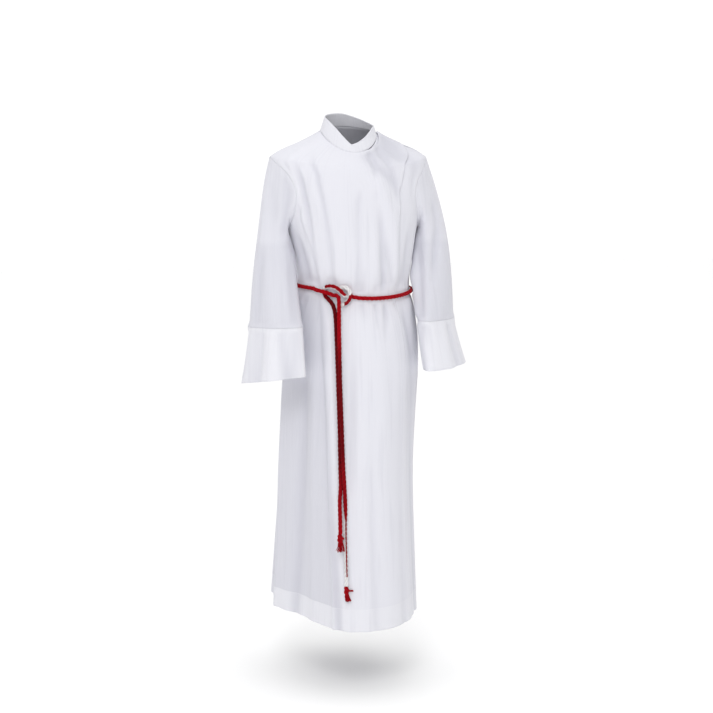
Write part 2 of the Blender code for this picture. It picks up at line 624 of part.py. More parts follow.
def sleeve(side_name, side):
    """A sleeve from the armhole to the top of its cuff."""
    rings = SLEEVES[side_name]
    loop = armhole_loop(side)
    landing = sleeve_ring(rings[0], side)
    next_down = sleeve_ring(blend_ring(rings, 0.2), side)
    away = Vector((side, 0, 0))
    outer = [[out for out, _, _ in loop]]
    for row in range(1, SLEEVE_CAP_ROWS + 1):
        share = row / SLEEVE_CAP_ROWS
        outer.append([])
        for column, (start, _, way_out) in enumerate(loop):
            end = landing[column]
            reach = (end - start).length
            under = ease((1 - math.cos(2 * math.pi * column / SLEEVE_COLUMNS)) / 2)
            leave = (way_out + away * (UNDERARM_PUSH * under)).normalized()
            down = (next_down[column] - end).normalized()
            outer[-1].append(curve_between(start, leave * reach * CAP_FULLNESS,
                                           end, down * reach * CAP_LANDING, share))
    steps = SLEEVE_ROWS * 2
    outer += [sleeve_ring(blend_ring(rings, 2 * step / steps), side)
              for step in range(1, steps + 1)]
    inner = inner_wall(outer, [inn for _, inn, _ in loop], -side * CLOTH)
    inner[-1] = inner_ring(outer[-1], CLOTH)
    return wall_from_grids("sleeve_" + side_name, outer, inner, closed=True)


def curve_between(start, start_slope, end, end_slope, share):
    """A point on the curve that leaves start and reaches end along the given slopes."""
    share_2 = share * share
    share_3 = share_2 * share
    return (start * (2 * share_3 - 3 * share_2 + 1) + start_slope * (share_3 - 2 * share_2 + share)
            + end * (3 * share_2 - 2 * share_3) + end_slope * (share_3 - share_2))


def cuff(side_name, side):
    """The deep doubled band at the end of a sleeve."""
    rings = SLEEVES[side_name]
    outer = []
    inner = []
    for step in range(5):
        drop = SEAM if step == 0 else 0.0
        points = sleeve_ring(blend_ring(rings, 2 + step / 2), side, drop)
        outer.append(points)
        inner.append(inner_ring(points, DOUBLED))
    return wall_from_grids("cuff_" + side_name, outer, inner, closed=True)


# ---------------------------------------------------------------- collar
def collar():
    """The standing band, wound once round the neck with its outer end on top."""
    heights = [(degrees, height) for degrees, height, _ in COLLAR]
    layers = [(degrees, layer) for degrees, _, layer in COLLAR]
    start = COLLAR[0][0]
    end = COLLAR[-1][0]
    columns = []
    for column in range(COLLAR_COLUMNS + 1):
        degrees = start + (end - start) * column / COLLAR_COLUMNS
        angle = math.radians(degrees)
        depth = (CLOTH + LAYER_GAP) * along(layers, degrees)
        normal = plain_normal(angle, NECK)
        upward = (plain_point(angle, NECK) - plain_point(angle, NECK - 0.02)).normalized()
        radial = Vector((math.sin(angle), -math.cos(angle), 0))
        foot = plain_point(angle, NECK) + upward * COLLAR_SEAM
        rise = (Vector((0, 0, 1)) - radial * COLLAR_LEAN).normalized()
        wall_way = (radial + Vector((0, 0, COLLAR_LEAN))).normalized()
        outer = []
        inner = []
        for row in range(COLLAR_ROWS + 1):
            share = row / COLLAR_ROWS
            way = normal.lerp(wall_way, ease(share * 2)).normalized()
            point = foot + rise * (along(heights, degrees) * share) - way * depth
            outer.append(point)
            inner.append(point - way * CLOTH)
        columns.append((outer, inner))
    outer = [[column[0][row] for column in columns] for row in range(COLLAR_ROWS + 1)]
    inner = [[column[1][row] for column in columns] for row in range(COLLAR_ROWS + 1)]
    return wall_from_grids("collar", outer, inner, closed=False)


# ---------------------------------------------------------------- the cord
def place_on_body(x, height):
    """The angle and level of the front point with the given x and height."""
    angle = 0.0
    level = float(LEVEL["waist"])
    for _ in range(40):
        point = plain_point(angle, level)
        angle += (x - point.x) / station_at(level)[6] * 0.8
        level += (height - point.z) * 6
        level = min(max(level, 0.0), NECK)
    return angle, level


def rope_point(x, height, above=0.0):
    """The middle of a rope that lies on the cloth at x and height."""
    angle, level = place_on_body(x, height)
    return cloth_point(angle, level, ROPE_RADIUS + ROPE_REST + above)


def smooth_route(points):
    """A smooth curve through the points, with more points where it bends."""
    count = len(points)
    chords = [end - start for start, end in zip(points, points[1:])]
    bends = [0.0] + [before.angle(after) for before, after in zip(chords, chords[1:])] + [0.0]
    route = [points[0]]
    for first, chord in enumerate(chords):
        before = points[max(first - 1, 0)]
        after = points[min(first + 2, count - 1)]
        bend = (bends[first] + bends[first + 1]) / 2
        steps = math.ceil(max(chord.length / ROPE_STEP, bend / ROPE_TURN, 1))
        route += [hermite_between(before, points[first], points[first + 1], after, step / steps)
                  for step in range(1, steps + 1)]
    return route


def rope(name, route):
    """A rope along a route, as a tube with filled ends."""
    curve = bpy.data.curves.new(name, "CURVE")
    curve.dimensions = "3D"
    curve.bevel_depth = ROPE_RADIUS
    curve.bevel_resolution = ROPE_SIDES_RESOLUTION
    curve.use_fill_caps = True
    spline = curve.splines.new("POLY")
    spline.points.add(len(route) - 1)
    for place, point in zip(spline.points, route):
        place.co = (*point, 1.0)
    obj = bpy.data.objects.new(name, curve)
    bpy.context.scene.collection.objects.link(obj)
    curve.materials.append(new_material(name, CORD_RED, 0.7))
    return obj


def waist_points():
    """Places of the cord round the waist, from the knot's left end round the back."""
    points = []
    for place in range(WAIST_PLACES + 1):
        angle = WAIST_FROM + (WAIST_TO - WAIST_FROM) * place / WAIST_PLACES
        level = LEVEL["waist"] + round_the_ring(WAIST_LEVELS, angle)
        points.append(cloth_point(angle, level, ROPE_RADIUS + WAIST_REST))
    return points


def carried_on(before, end):
    """The first two points of a rope that carries on, across a gap, where another ends."""
    way = (end - before).normalized()
    return [end + way * SEAM, end + way * ROPE_RADIUS]


def end_knot(knot, route):
    """The knot at the end of a hanging cord, with the frayed strands below it."""
    end = route[-1]
    down = (route[-1] - route[-2]).normalized()
    across = down.cross(Vector((0, -1, 0))).normalized()
    outward = across.cross(down).normalized()
    sides = TUFT_STRANDS
    bm = bmesh.new()
    rings = []
    for reach, width in KNOT_PROFILE:
        centre = end + down * (SEAM + reach * knot.length)
        ring = []
        for side in range(sides):
            angle = 2 * math.pi * side / sides
            offset = (across * math.cos(angle) + outward * (math.sin(angle) * KNOT_FLATNESS))
            ring.append(bm.verts.new(centre + offset * knot.half_width * width))
        rings.append(ring)
    for upper, lower in zip(rings, rings[1:]):
        for side in range(sides):
            after = (side + 1) % sides
            bm.faces.new((upper[side], upper[after], lower[after], lower[side]))
    bm.faces.new(rings[0])
    middle = bm.verts.new(end + down * (SEAM + knot.length))
    roots = [bm.faces.new((rings[-1][side], rings[-1][(side + 1) % sides], middle))
             for side in range(sides)]
    bmesh.ops.inset_individual(bm, faces=roots, thickness=STRAND_PARTING)
    for _ in range(TUFT_STEPS):
        roots = bmesh.ops.extrude_discrete_faces(bm, faces=roots)["faces"]
        for face in roots:
            centre = face.calc_center_median() - end
            radial = centre - down * centre.dot(down)
            step = down * (knot.tuft / TUFT_STEPS) + radial * ((knot.spread - 1) / TUFT_STEPS)
            bmesh.ops.translate(bm, vec=step, verts=face.verts)
    bmesh.ops.recalc_face_normals(bm, faces=bm.faces)
    return new_object(knot.name, bm, CORD_RED, 0.8)


def cincture():
    """The tied cord: one route from end to end, parted where it enters and leaves the knot."""
    short_end = [rope_point(*place) for place in SHORT_END]
    long_end = [rope_point(*place) for place in LONG_END]
    waist = waist_points()
    whole = smooth_route(list(reversed(short_end)) + waist + long_end)
    first = whole.index(waist[0])
    last = whole.index(waist[-1])
    short_route = carried_on(whole[first + 1], waist[0]) + list(reversed(whole[:first]))
    long_route = carried_on(whole[last - 1], waist[-1]) + whole[last + 1:]
    rope("cincture_waist", whole[first:last + 1])
    rope("cincture_keeper", smooth_route([rope_point(*place) for place in KEEPER]))
    rope("cincture_tail_short", short_route)
    end_knot(KNOT_SHORT, short_route)
    rope("cincture_tail_long", long_route)
    end_knot(KNOT_LONG, long_route)


def build():
    """Make every piece of the alb."""
    for obj in list(bpy.data.objects):
        bpy.data.objects.remove(obj, do_unlink=True)
    front_wrap()
    front_under()
    back()
    for side_name, side in (("right", -1), ("left", 1)):
        sleeve(side_name, side)
        cuff(side_name, side)
    collar()
    cincture()


build()
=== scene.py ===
"""The looks of a youth's front-wrap alb in its worn form, with its two-tone cord tied at the waist.

Metres, +Z up. The wearer faces -Y and the wearer's left is +X. Each piece of cloth starts from its
own solid, which is smoothed and then creased by moving its points. A fold is a line on the
unrolled cloth: degrees round the body or the sleeve, and height. The cord is laid up from strands.
"""
from __future__ import annotations

import json
import logging
import math
import random
from dataclasses import dataclass, field
from enum import Enum

import bmesh
import bpy
import numpy as np
from mathutils import Matrix, Vector, kdtree
from mathutils.bvhtree import BVHTree

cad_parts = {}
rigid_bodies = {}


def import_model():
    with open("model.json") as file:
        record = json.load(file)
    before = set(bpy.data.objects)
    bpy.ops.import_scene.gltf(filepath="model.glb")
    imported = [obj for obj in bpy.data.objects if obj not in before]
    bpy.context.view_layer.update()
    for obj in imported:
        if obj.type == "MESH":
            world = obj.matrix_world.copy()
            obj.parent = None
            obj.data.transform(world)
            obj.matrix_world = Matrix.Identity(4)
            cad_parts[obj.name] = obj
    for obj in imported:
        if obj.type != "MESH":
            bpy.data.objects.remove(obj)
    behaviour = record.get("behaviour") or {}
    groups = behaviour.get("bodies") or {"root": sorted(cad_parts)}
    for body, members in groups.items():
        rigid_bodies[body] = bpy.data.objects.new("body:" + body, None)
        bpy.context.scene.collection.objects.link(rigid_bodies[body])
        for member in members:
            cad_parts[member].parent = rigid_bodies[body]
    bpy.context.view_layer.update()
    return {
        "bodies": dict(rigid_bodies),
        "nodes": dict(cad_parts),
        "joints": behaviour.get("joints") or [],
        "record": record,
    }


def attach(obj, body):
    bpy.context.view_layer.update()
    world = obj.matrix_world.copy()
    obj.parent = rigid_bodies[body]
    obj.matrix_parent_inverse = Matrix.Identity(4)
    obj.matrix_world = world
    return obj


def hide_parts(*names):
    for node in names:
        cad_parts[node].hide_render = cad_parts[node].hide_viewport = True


log = logging.getLogger("alb")

ROOT = "root"
MILLIMETRE = 0.001

COLOURS = {"data_type": "RGBA"}     # what makes a mix node mix colours

Place = tuple[float, float, float]
TurnsAndHeights = list[tuple[float, float]]     # degrees round an axis, and metres up


# ------------------------------------------------------------------ the cord's route
def in_metres(*tenths: tuple[int, int, int]) -> tuple[Place, ...]:
    """Turn places in tenths of a millimetre into metres."""
    return tuple((x / 10_000, y / 10_000, z / 10_000) for x, y, z in tenths)


# The middle line of each stretch of the cord, as its solids have it:
CINCTURE_KEEPER = in_metres(
    (-535, -1193, -3459), (-514, -1214, -3407), (-482, -1235, -3381), (-444, -1260, -3364),
    (-405, -1289, -3368), (-369, -1317, -3385), (-341, -1338, -3410), (-321, -1352, -3446),
    (-309, -1358, -3494), (-308, -1357, -3546), (-319, -1352, -3598), (-340, -1340, -3647),
    (-370, -1317, -3686), (-406, -1289, -3717), (-451, -1260, -3738), (-493, -1233, -3748),
    (-543, -1211, -3736),
)
CINCTURE_TAIL_LONG = in_metres(
    (-1014, -788, -3413), (-995, -816, -3416), (-953, -921, -3441), (-855, -1081, -3464),
    (-741, -1147, -3501), (-649, -1181, -3539), (-608, -1204, -3542), (-575, -1227, -3548),
    (-554, -1249, -3570), (-543, -1269, -3605), (-545, -1301, -3717), (-550, -1321, -3874),
    (-555, -1343, -4068), (-561, -1370, -4235), (-567, -1407, -4482), (-570, -1431, -4655),
    (-574, -1458, -4859), (-577, -1487, -5081), (-579, -1515, -5314), (-578, -1537, -5518),
    (-576, -1559, -5745), (-573, -1581, -5973), (-571, -1600, -6182), (-568, -1616, -6352),
    (-565, -1637, -6587), (-562, -1648, -6742), (-559, -1663, -6947), (-554, -1677, -7135),
    (-551, -1687, -7272), (-547, -1696, -7398), (-539, -1704, -7549), (-532, -1711, -7706),
    (-525, -1717, -7860), (-521, -1724, -8014), (-520, -1733, -8161), (-522, -1745, -8319),
    (-527, -1760, -8510), (-531, -1777, -8711), (-531, -1794, -8908), (-531, -1812, -9104),
    (-532, -1833, -9302), (-534, -1855, -9495), (-536, -1882, -9693), (-537, -1904, -9844),
)
CINCTURE_TAIL_SHORT = in_metres(
    (-43, -1321, -3608), (-77, -1321, -3606), (-163, -1303, -3590), (-295, -1272, -3571),
    (-378, -1280, -3564), (-411, -1294, -3549), (-442, -1306, -3526), (-508, -1301, -3447),
    (-593, -1282, -3376), (-642, -1259, -3354), (-690, -1223, -3343), (-733, -1170, -3346),
    (-768, -1112, -3361), (-790, -1063, -3389), (-802, -1025, -3425), (-806, -1009, -3463),
    (-802, -1009, -3504), (-791, -1025, -3545), (-772, -1049, -3585), (-712, -1105, -3656),
    (-655, -1157, -3740), (-621, -1201, -3859), (-611, -1235, -3990), (-607, -1267, -4140),
    (-606, -1311, -4390), (-606, -1341, -4583), (-607, -1375, -4816), (-607, -1411, -5069),
    (-607, -1442, -5322), (-606, -1465, -5532), (-604, -1486, -5756), (-602, -1506, -5979),
    (-600, -1524, -6187), (-598, -1539, -6363), (-598, -1557, -6576), (-599, -1570, -6730),
    (-600, -1582, -6884), (-600, -1598, -7066), (-601, -1614, -7249), (-601, -1629, -7406),
    (-603, -1648, -7571), (-608, -1668, -7707), (-624, -1693, -7854), (-640, -1721, -8006),
    (-646, -1754, -8173), (-650, -1787, -8346), (-655, -1820, -8545), (-659, -1845, -8700),
)
CINCTURE_WAIST = in_metres(
    (-40, -1321, -3608), (107, -1325, -3617), (255, -1311, -3622), (402, -1279, -3622),
    (544, -1226, -3620), (686, -1165, -3614), (823, -1089, -3605), (950, -993, -3595),
    (1071, -883, -3581), (1184, -755, -3564), (1280, -607, -3546), (1351, -441, -3530),
    (1389, -260, -3517), (1386, -76, -3506), (1346, 103, -3492), (1274, 269, -3479),
    (1178, 419, -3465), (1063, 550, -3452), (937, 662, -3439), (798, 757, -3426), (649, 831, -3414),
    (494, 877, -3404), (340, 897, -3398), (193, 907, -3393), (52, 908, -3391), (-86, 903, -3391),
    (-228, 893, -3391), (-377, 877, -3390), (-530, 845, -3389), (-679, 781, -3389),
    (-816, 689, -3389), (-936, 579, -3388), (-1041, 452, -3389), (-1127, 311, -3389),
    (-1192, 156, -3389), (-1231, -7, -3388), (-1243, -175, -3385), (-1225, -344, -3388),
    (-1176, -505, -3394), (-1105, -652, -3402), (-1016, -785, -3413),
)

# ------------------------------------------------------------------ lines on the robe
# Heights in metres, and degrees from the centre front towards the wearer's left.
# The free edge of the lap:
LAP_EDGE = ((-1.087, 42.0), (-0.600, 43.0), (-0.215, 43.0), (-0.134, 44.0), (-0.075, 55.0),
            (-0.046, 73.0))
# The long edge of the inner front, under the lap:
INNER_EDGE = ((-1.09, -16.0), (-0.99, -18.0), (-0.887, -21.7), (-0.734, -26.5), (-0.583, -34.6),
              (-0.430, -42.0))
# The cord leaves out this band of the lap's stitching:
CORD_BAND = (-0.372, -0.345)
HEM_EDGE = -1.090
UNDERARM = -0.217
# Radians between one loose yarn and the next, so that they spread evenly round the knot:
GOLDEN_TURN = 2.399963


# ------------------------------------------------------------------ small helpers
def linear(hex_colour: str) -> tuple[float, float, float, float]:
    """Turn an sRGB hex colour into linear values.

    Args:
        hex_colour: six hex digits after a hash sign.

    Returns:
        Red, green, blue and an alpha of 1.
    """
    parts = [int(hex_colour[place:place + 2], 16) / 255 for place in (1, 3, 5)]
    return (*(part / 12.92 if part <= 0.04045 else ((part + 0.055) / 1.055) ** 2.4
              for part in parts), 1.0)


def add_node(tree: bpy.types.NodeTree, kind: str, settings: dict | None = None,
             inputs: dict | None = None, links: dict | None = None) -> bpy.types.Node:
    """Add one node to a material.

    Args:
        tree: the material's nodes.
        kind: the node's type name.
        settings: properties of the node itself.
        inputs: constant values by socket name or number.
        links: output sockets to join to input sockets, by name or number.

    Returns:
        The new node.
    """
    node = tree.nodes.new(kind)
    for name, value in (settings or {}).items():
        setattr(node, name, value)
    for socket, value in (inputs or {}).items():
        node.inputs[socket].default_value = value
    for socket, source in (links or {}).items():
        tree.links.new(source, node.inputs[socket])
    return node


def start_material(name: str, inputs: dict[str, tuple | float]) -> tuple[
        bpy.types.Material, bpy.types.NodeTree, bpy.types.Node]:
    """Start a material with one Principled shader.

    Args:
        name: the material's name.
        inputs: the shader's constant values by socket name.

    Returns:
        The material, its nodes and its shader.
    """
    made = bpy.data.materials.new(name)
    made.use_nodes = True
    shader = made.node_tree.nodes["Principled BSDF"]
    for socket, value in inputs.items():
        shader.inputs[socket].default_value = value
    return made, made.node_tree, shader


def smoothstep(values: np.ndarray | float) -> np.ndarray | float:
    """A soft ramp from 0 to 1."""
    clipped = np.clip(values, 0.0, 1.0)
    return clipped * clipped * (3 - 2 * clipped)


def ramp(values: np.ndarray | float, start: float, length: float) -> np.ndarray | float:
    """A soft ramp that begins at a value and takes a length to reach 1."""
    return smoothstep((values - start) / length)


def off_centre(degrees: np.ndarray, middle: float) -> np.ndarray:
    """Degrees from a middle angle, from -180 to 180."""
    return (degrees - middle + 180) % 360 - 180


def read_points(mesh: bpy.types.Mesh) -> np.ndarray:
    """Read a mesh's points.

    Args:
        mesh: any mesh.

    Returns:
        Rows of x, y and z.
    """
    points = np.empty(len(mesh.vertices) * 3, np.float32)
    mesh.vertices.foreach_get("co", points)
    return points.reshape(-1, 3).astype(float)


def write_points(mesh: bpy.types.Mesh, points: np.ndarray) -> None:
    """Put the points back into the mesh."""
    mesh.vertices.foreach_set("co", points.astype(np.float32).ravel())
    mesh.update()


def write_attribute(mesh: bpy.types.Mesh, name: str, values: np.ndarray) -> None:
    """Store one number for each point under a name that a material can read."""
    attribute = mesh.attributes.new(name, "FLOAT", "POINT")
    attribute.data.foreach_set("value", values.astype(np.float32))


def write_unrolled(mesh: bpy.types.Mesh, first: np.ndarray, second: np.ndarray,
                   turn: float | None = None, turning: int = 0) -> None:
    """Store the unrolled place of each point as the piece's UV map.

    Args:
        mesh: the piece's mesh.
        first: for each point, metres round the cloth, or along a strand.
        second: metres along the cloth's warp, or turns round a strand.
        turn: the length of a full turn where the piece is a tube, so that no face spans it.
        turning: which of the two places goes round, 0 or 1.
    """
    corner_points = np.empty(len(mesh.loops), np.int32)
    mesh.loops.foreach_get("vertex_index", corner_points)
    places = np.column_stack((first, second))[corner_points]
    if turn:
        totals = np.empty(len(mesh.polygons), np.int32)
        mesh.polygons.foreach_get("loop_total", totals)
        face_of_corner = np.repeat(np.arange(len(totals)), totals)
        highest = np.full(len(totals), -1e9)
        np.maximum.at(highest, face_of_corner, places[:, turning])
        places[:, turning] += turn * (highest[face_of_corner] - places[:, turning] > turn / 2)
    layer = mesh.uv_layers.new(name="unrolled")
    layer.data.foreach_set("uv", places.astype(np.float32).ravel())


def search_tree(places: list[Vector]) -> kdtree.KDTree:
    """Make a tree that finds the nearest of some places.

    Args:
        places: the places, in the order that the tree numbers them.

    Returns:
        The tree, ready to search.
    """
    tree = kdtree.KDTree(len(places))
    for number, place in enumerate(places):
        tree.insert(place, number)
    tree.balance()
    return tree


def made_of(bm: bmesh.types.BMesh, name: str) -> bpy.types.Mesh:
    """Turn a bmesh into a mesh.

    Args:
        bm: the bmesh, which is used up.
        name: the mesh's name.

    Returns:
        The mesh.
    """
    mesh = bpy.data.meshes.new(name)
    bm.to_mesh(mesh)
    bm.free()
    return mesh


def put_in_scene(name: str, content: bpy.types.ID) -> bpy.types.Object:
    """Make an object and link it to the scene.

    Args:
        name: the object's name.
        content: its mesh, curve, camera or lamp.

    Returns:
        The object.
    """
    made = bpy.data.objects.new(name, content)
    bpy.context.scene.collection.objects.link(made)
    return made


def as_it_shows(name: str, content: bpy.types.Mesh | bpy.types.Curve,
                smoothing: int = 0) -> bpy.types.Mesh:
    """Turn a bevelled curve, or a rough mesh that Subdivision Surface smooths, into a mesh.

    Args:
        name: the name of the object that carries it for the moment.
        content: the curve or rough mesh, which is used up.
        smoothing: the levels of Subdivision Surface.

    Returns:
        The mesh, with no material.
    """
    holder = put_in_scene(name, content)
    if smoothing:
        modifier = holder.modifiers.new("smoothing", "SUBSURF")
        modifier.levels = modifier.render_levels = smoothing
    graph = bpy.context.evaluated_depsgraph_get()
    mesh = bpy.data.meshes.new_from_object(holder.evaluated_get(graph))
    bpy.data.objects.remove(holder)
    store = bpy.data.curves if isinstance(content, bpy.types.Curve) else bpy.data.meshes
    store.remove(content)
    mesh.materials.clear()
    return mesh


def strand_curve(name: str, radius: float, sides: int) -> bpy.types.Curve:
    """Start a curve of round strands or yarns.

    Args:
        name: the curve's name.
        radius: half their thickness, in metres.
        sides: the bevel's resolution.

    Returns:
        The curve, with no line in it yet.
    """
    curve = bpy.data.curves.new(name, "CURVE")
    curve.dimensions = "3D"
    curve.bevel_depth = radius
    curve.bevel_resolution = sides
    curve.use_fill_caps = True
    return curve


def joined(name: str, parts: list[bpy.types.Mesh]) -> bpy.types.Object:
    """Put several meshes into one object.

    Args:
        name: the new piece's name.
        parts: the meshes, which are used up.

    Returns:
        The piece, linked to the scene.
    """
    bm = bmesh.new()
    for part in parts:
        bm.from_mesh(part)
        bpy.data.meshes.remove(part)
    return put_in_scene(name, made_of(bm, name))


def finish_piece(piece: bpy.types.Object, material: bpy.types.Material,
                 replaced: tuple[str, ...]) -> None:
    """Dress a finished piece and tie it to the frame.

    Args:
        piece: the new object.
        material: its finish.
        replaced: the solids that it stands for.
    """
    piece.data.materials.clear()
    piece.data.materials.append(material)
    piece.data.shade_smooth()
    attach(piece, ROOT)
    if replaced:
        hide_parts(*replaced)
    piece.data.calc_loop_triangles()
    log.info("%s: %d triangles", piece.name, len(piece.data.loop_triangles))


# ------------------------------------------------------------------ finishes
@dataclass(frozen=True)
class ClothFinish:
    """A plain-woven polyester and cotton cloth with a linen look, washed and pressed.

    The eye sees a matt, slightly cool white with faint upright slubs, which are thicker stretches
    of the warp threads. The weave gives no highlight, only a soft brightening at the rim. The cloth
    is thin: where it lies single, the shade inside the robe shows through, painted as a greyer
    tone. Where it lies double, or close over another layer, it lets less light through, so it is
    painted whiter. Troughs are painted greyer, as the shade that gathers in them.
    """

    name: str = "linen_look_polyester_cotton_plain_woven"
    # single, backed and double: painted shade of the robe's inside showing through the thin cloth,
    # greyest where it lies single
    single: str = "#D3D3DB"
    backed: str = "#DFDFE6"
    double: str = "#E2E2E8"
    slub: str = "#E6E6EC"
    # the greyer tone of the uneven patches of the weave, and the painted shade in the creases
    patch_grey_and_crease_shade: str = "#C2C2CC"
    crease_share: float = 0.60      # painted shade: how grey the deepest creases look
    roughness: float = 0.88
    specular: float = 0.25
    sheen: float = 0.22
    sheen_roughness: float = 0.45
    slub_width: float = 2.2         # mm across, a few threads: drawn as wide as it needs to show
    slub_length: float = 55.0       # mm along the warp
    slub_share: float = 0.22        # how much whiter the thickest slubs look
    patch_width: float = 9.0        # mm across the uneven patches of the weave
    patch_length: float = 160.0
    patch_share: float = 0.16       # and how much greyer they look
    thread: float = 1.5             # mm: the real spacing is 0.45 mm, too fine to show, so it is
                                    # drawn coarser
    slub_relief: float = 0.16       # mm
    thread_relief: float = 0.05     # mm

    def material(self) -> bpy.types.Material:
        """Build the cloth's nodes.

        Returns:
            The material. It reads the piece's own UV map, in metres, and its attributes: "doubled",
            above 0 where the cloth is double, "backed", from 0 to 1 as another layer lies behind
            it, which sets how much painted shade of the inside shows through, and "creased", from 0
            to 1 as it lies in a trough, which paints the trough greyer as shade.
        """
        made, tree, shader = start_material(self.name, {
            "Roughness": self.roughness, "Specular IOR Level": self.specular,
            "Sheen Weight": self.sheen, "Sheen Roughness": self.sheen_roughness})
        unrolled = add_node(tree, "ShaderNodeUVMap", {"uv_map": "unrolled"}).outputs["UV"]
        doubled = add_node(tree, "ShaderNodeAttribute", {"attribute_name": "doubled"})
        slubs = self.streaks(tree, unrolled, self.slub_width, self.slub_length, 3.0)
        patches = self.streaks(tree, unrolled, self.patch_width, self.patch_length, 1.0)
        threads = self.threads(tree, unrolled)
        lying_double = add_node(tree, "ShaderNodeMapRange", None,
                                {"From Min": -0.4, "From Max": 0.4},
                                {"Value": doubled.outputs["Fac"]})
        over_layer = add_node(tree, "ShaderNodeAttribute", {"attribute_name": "backed"})
        plain = add_node(tree, "ShaderNodeMix", COLOURS,
                         {6: linear(self.single), 7: linear(self.backed)},
                         {0: over_layer.outputs["Fac"]})
        ground = add_node(tree, "ShaderNodeMix", COLOURS,
                          {7: linear(self.double)},
                          {0: lying_double.outputs[0], 6: plain.outputs[2]})
        lifted = add_node(tree, "ShaderNodeMapRange", None,
                          {"From Min": 0.54, "From Max": 0.80, "To Max": self.slub_share},
                          {"Value": slubs})
        with_slubs = add_node(tree, "ShaderNodeMix", COLOURS,
                              {7: linear(self.slub)},
                              {0: lifted.outputs[0], 6: ground.outputs[2]})
        uneven = add_node(tree, "ShaderNodeMapRange", None,
                          {"From Min": 0.46, "From Max": 0.22, "To Max": self.patch_share},
                          {"Value": patches})
        coloured = add_node(tree, "ShaderNodeMix", COLOURS,
                            {7: linear(self.patch_grey_and_crease_shade)},
                            {0: uneven.outputs[0], 6: with_slubs.outputs[2]})
        # painted shade: the deeper a trough, the more it is mixed towards the grey tone
        creased = add_node(tree, "ShaderNodeAttribute", {"attribute_name": "creased"})
        crease_darkening = add_node(tree, "ShaderNodeMath", {"operation": "MULTIPLY"},
                          {1: self.crease_share}, {0: creased.outputs["Fac"]})
        shaded = add_node(tree, "ShaderNodeMix", COLOURS,
                          {7: linear(self.patch_grey_and_crease_shade)},
                          {0: crease_darkening.outputs[0], 6: coloured.outputs[2]})
        tree.links.new(shaded.outputs[2], shader.inputs["Base Color"])
        fine = add_node(tree, "ShaderNodeBump", None,
                        {"Strength": 1.0, "Distance": self.thread_relief * MILLIMETRE},
                        {"Height": threads})
        raised = add_node(tree, "ShaderNodeBump", None,
                          {"Strength": 1.0, "Distance": self.slub_relief * MILLIMETRE},
                          {"Height": slubs, "Normal": fine.outputs[0]})
        tree.links.new(raised.outputs[0], shader.inputs["Normal"])
        return made

    def streaks(self, tree: bpy.types.NodeTree, unrolled: bpy.types.NodeSocket, width: float,
                length: float, detail: float) -> bpy.types.NodeSocket:
        """Noise drawn out along the warp.

        Args:
            tree: the material's nodes.
            unrolled: the UV map's output, in metres.
            width: millimetres across one streak.
            length: millimetres along it.
            detail: how many finer layers it has.

        Returns:
            The noise's value.
        """
        drawn_out = add_node(tree, "ShaderNodeMapping", None,
                             {"Scale": (1000 / width, 1000 / length, 1.0)}, {"Vector": unrolled})
        noise = add_node(tree, "ShaderNodeTexNoise", {"noise_dimensions": "2D"},
                         {"Scale": 1.0, "Detail": detail, "Roughness": 0.55},
                         {"Vector": drawn_out.outputs[0]})
        return noise.outputs[0]

    def threads(self, tree: bpy.types.NodeTree,
                unrolled: bpy.types.NodeSocket) -> bpy.types.NodeSocket:
        """The over-and-under of the plain weave: one sine each way, multiplied.

        Args:
            tree: the material's nodes.
            unrolled: the UV map's output, in metres.

        Returns:
            The height of the weave, from -1 to 1.
        """
        apart = add_node(tree, "ShaderNodeSeparateXYZ", None, None, {0: unrolled})
        waves = []
        for axis in (0, 1):
            turned = add_node(tree, "ShaderNodeMath", {"operation": "MULTIPLY"},
                              {1: math.pi * 1000 / self.thread}, {0: apart.outputs[axis]})
            waves.append(add_node(tree, "ShaderNodeMath", {"operation": "SINE"}, None,
                                  {0: turned.outputs[0]}).outputs[0])
        return add_node(tree, "ShaderNodeMath", {"operation": "MULTIPLY"}, None,
                        {0: waves[0], 1: waves[1]}).outputs[0]


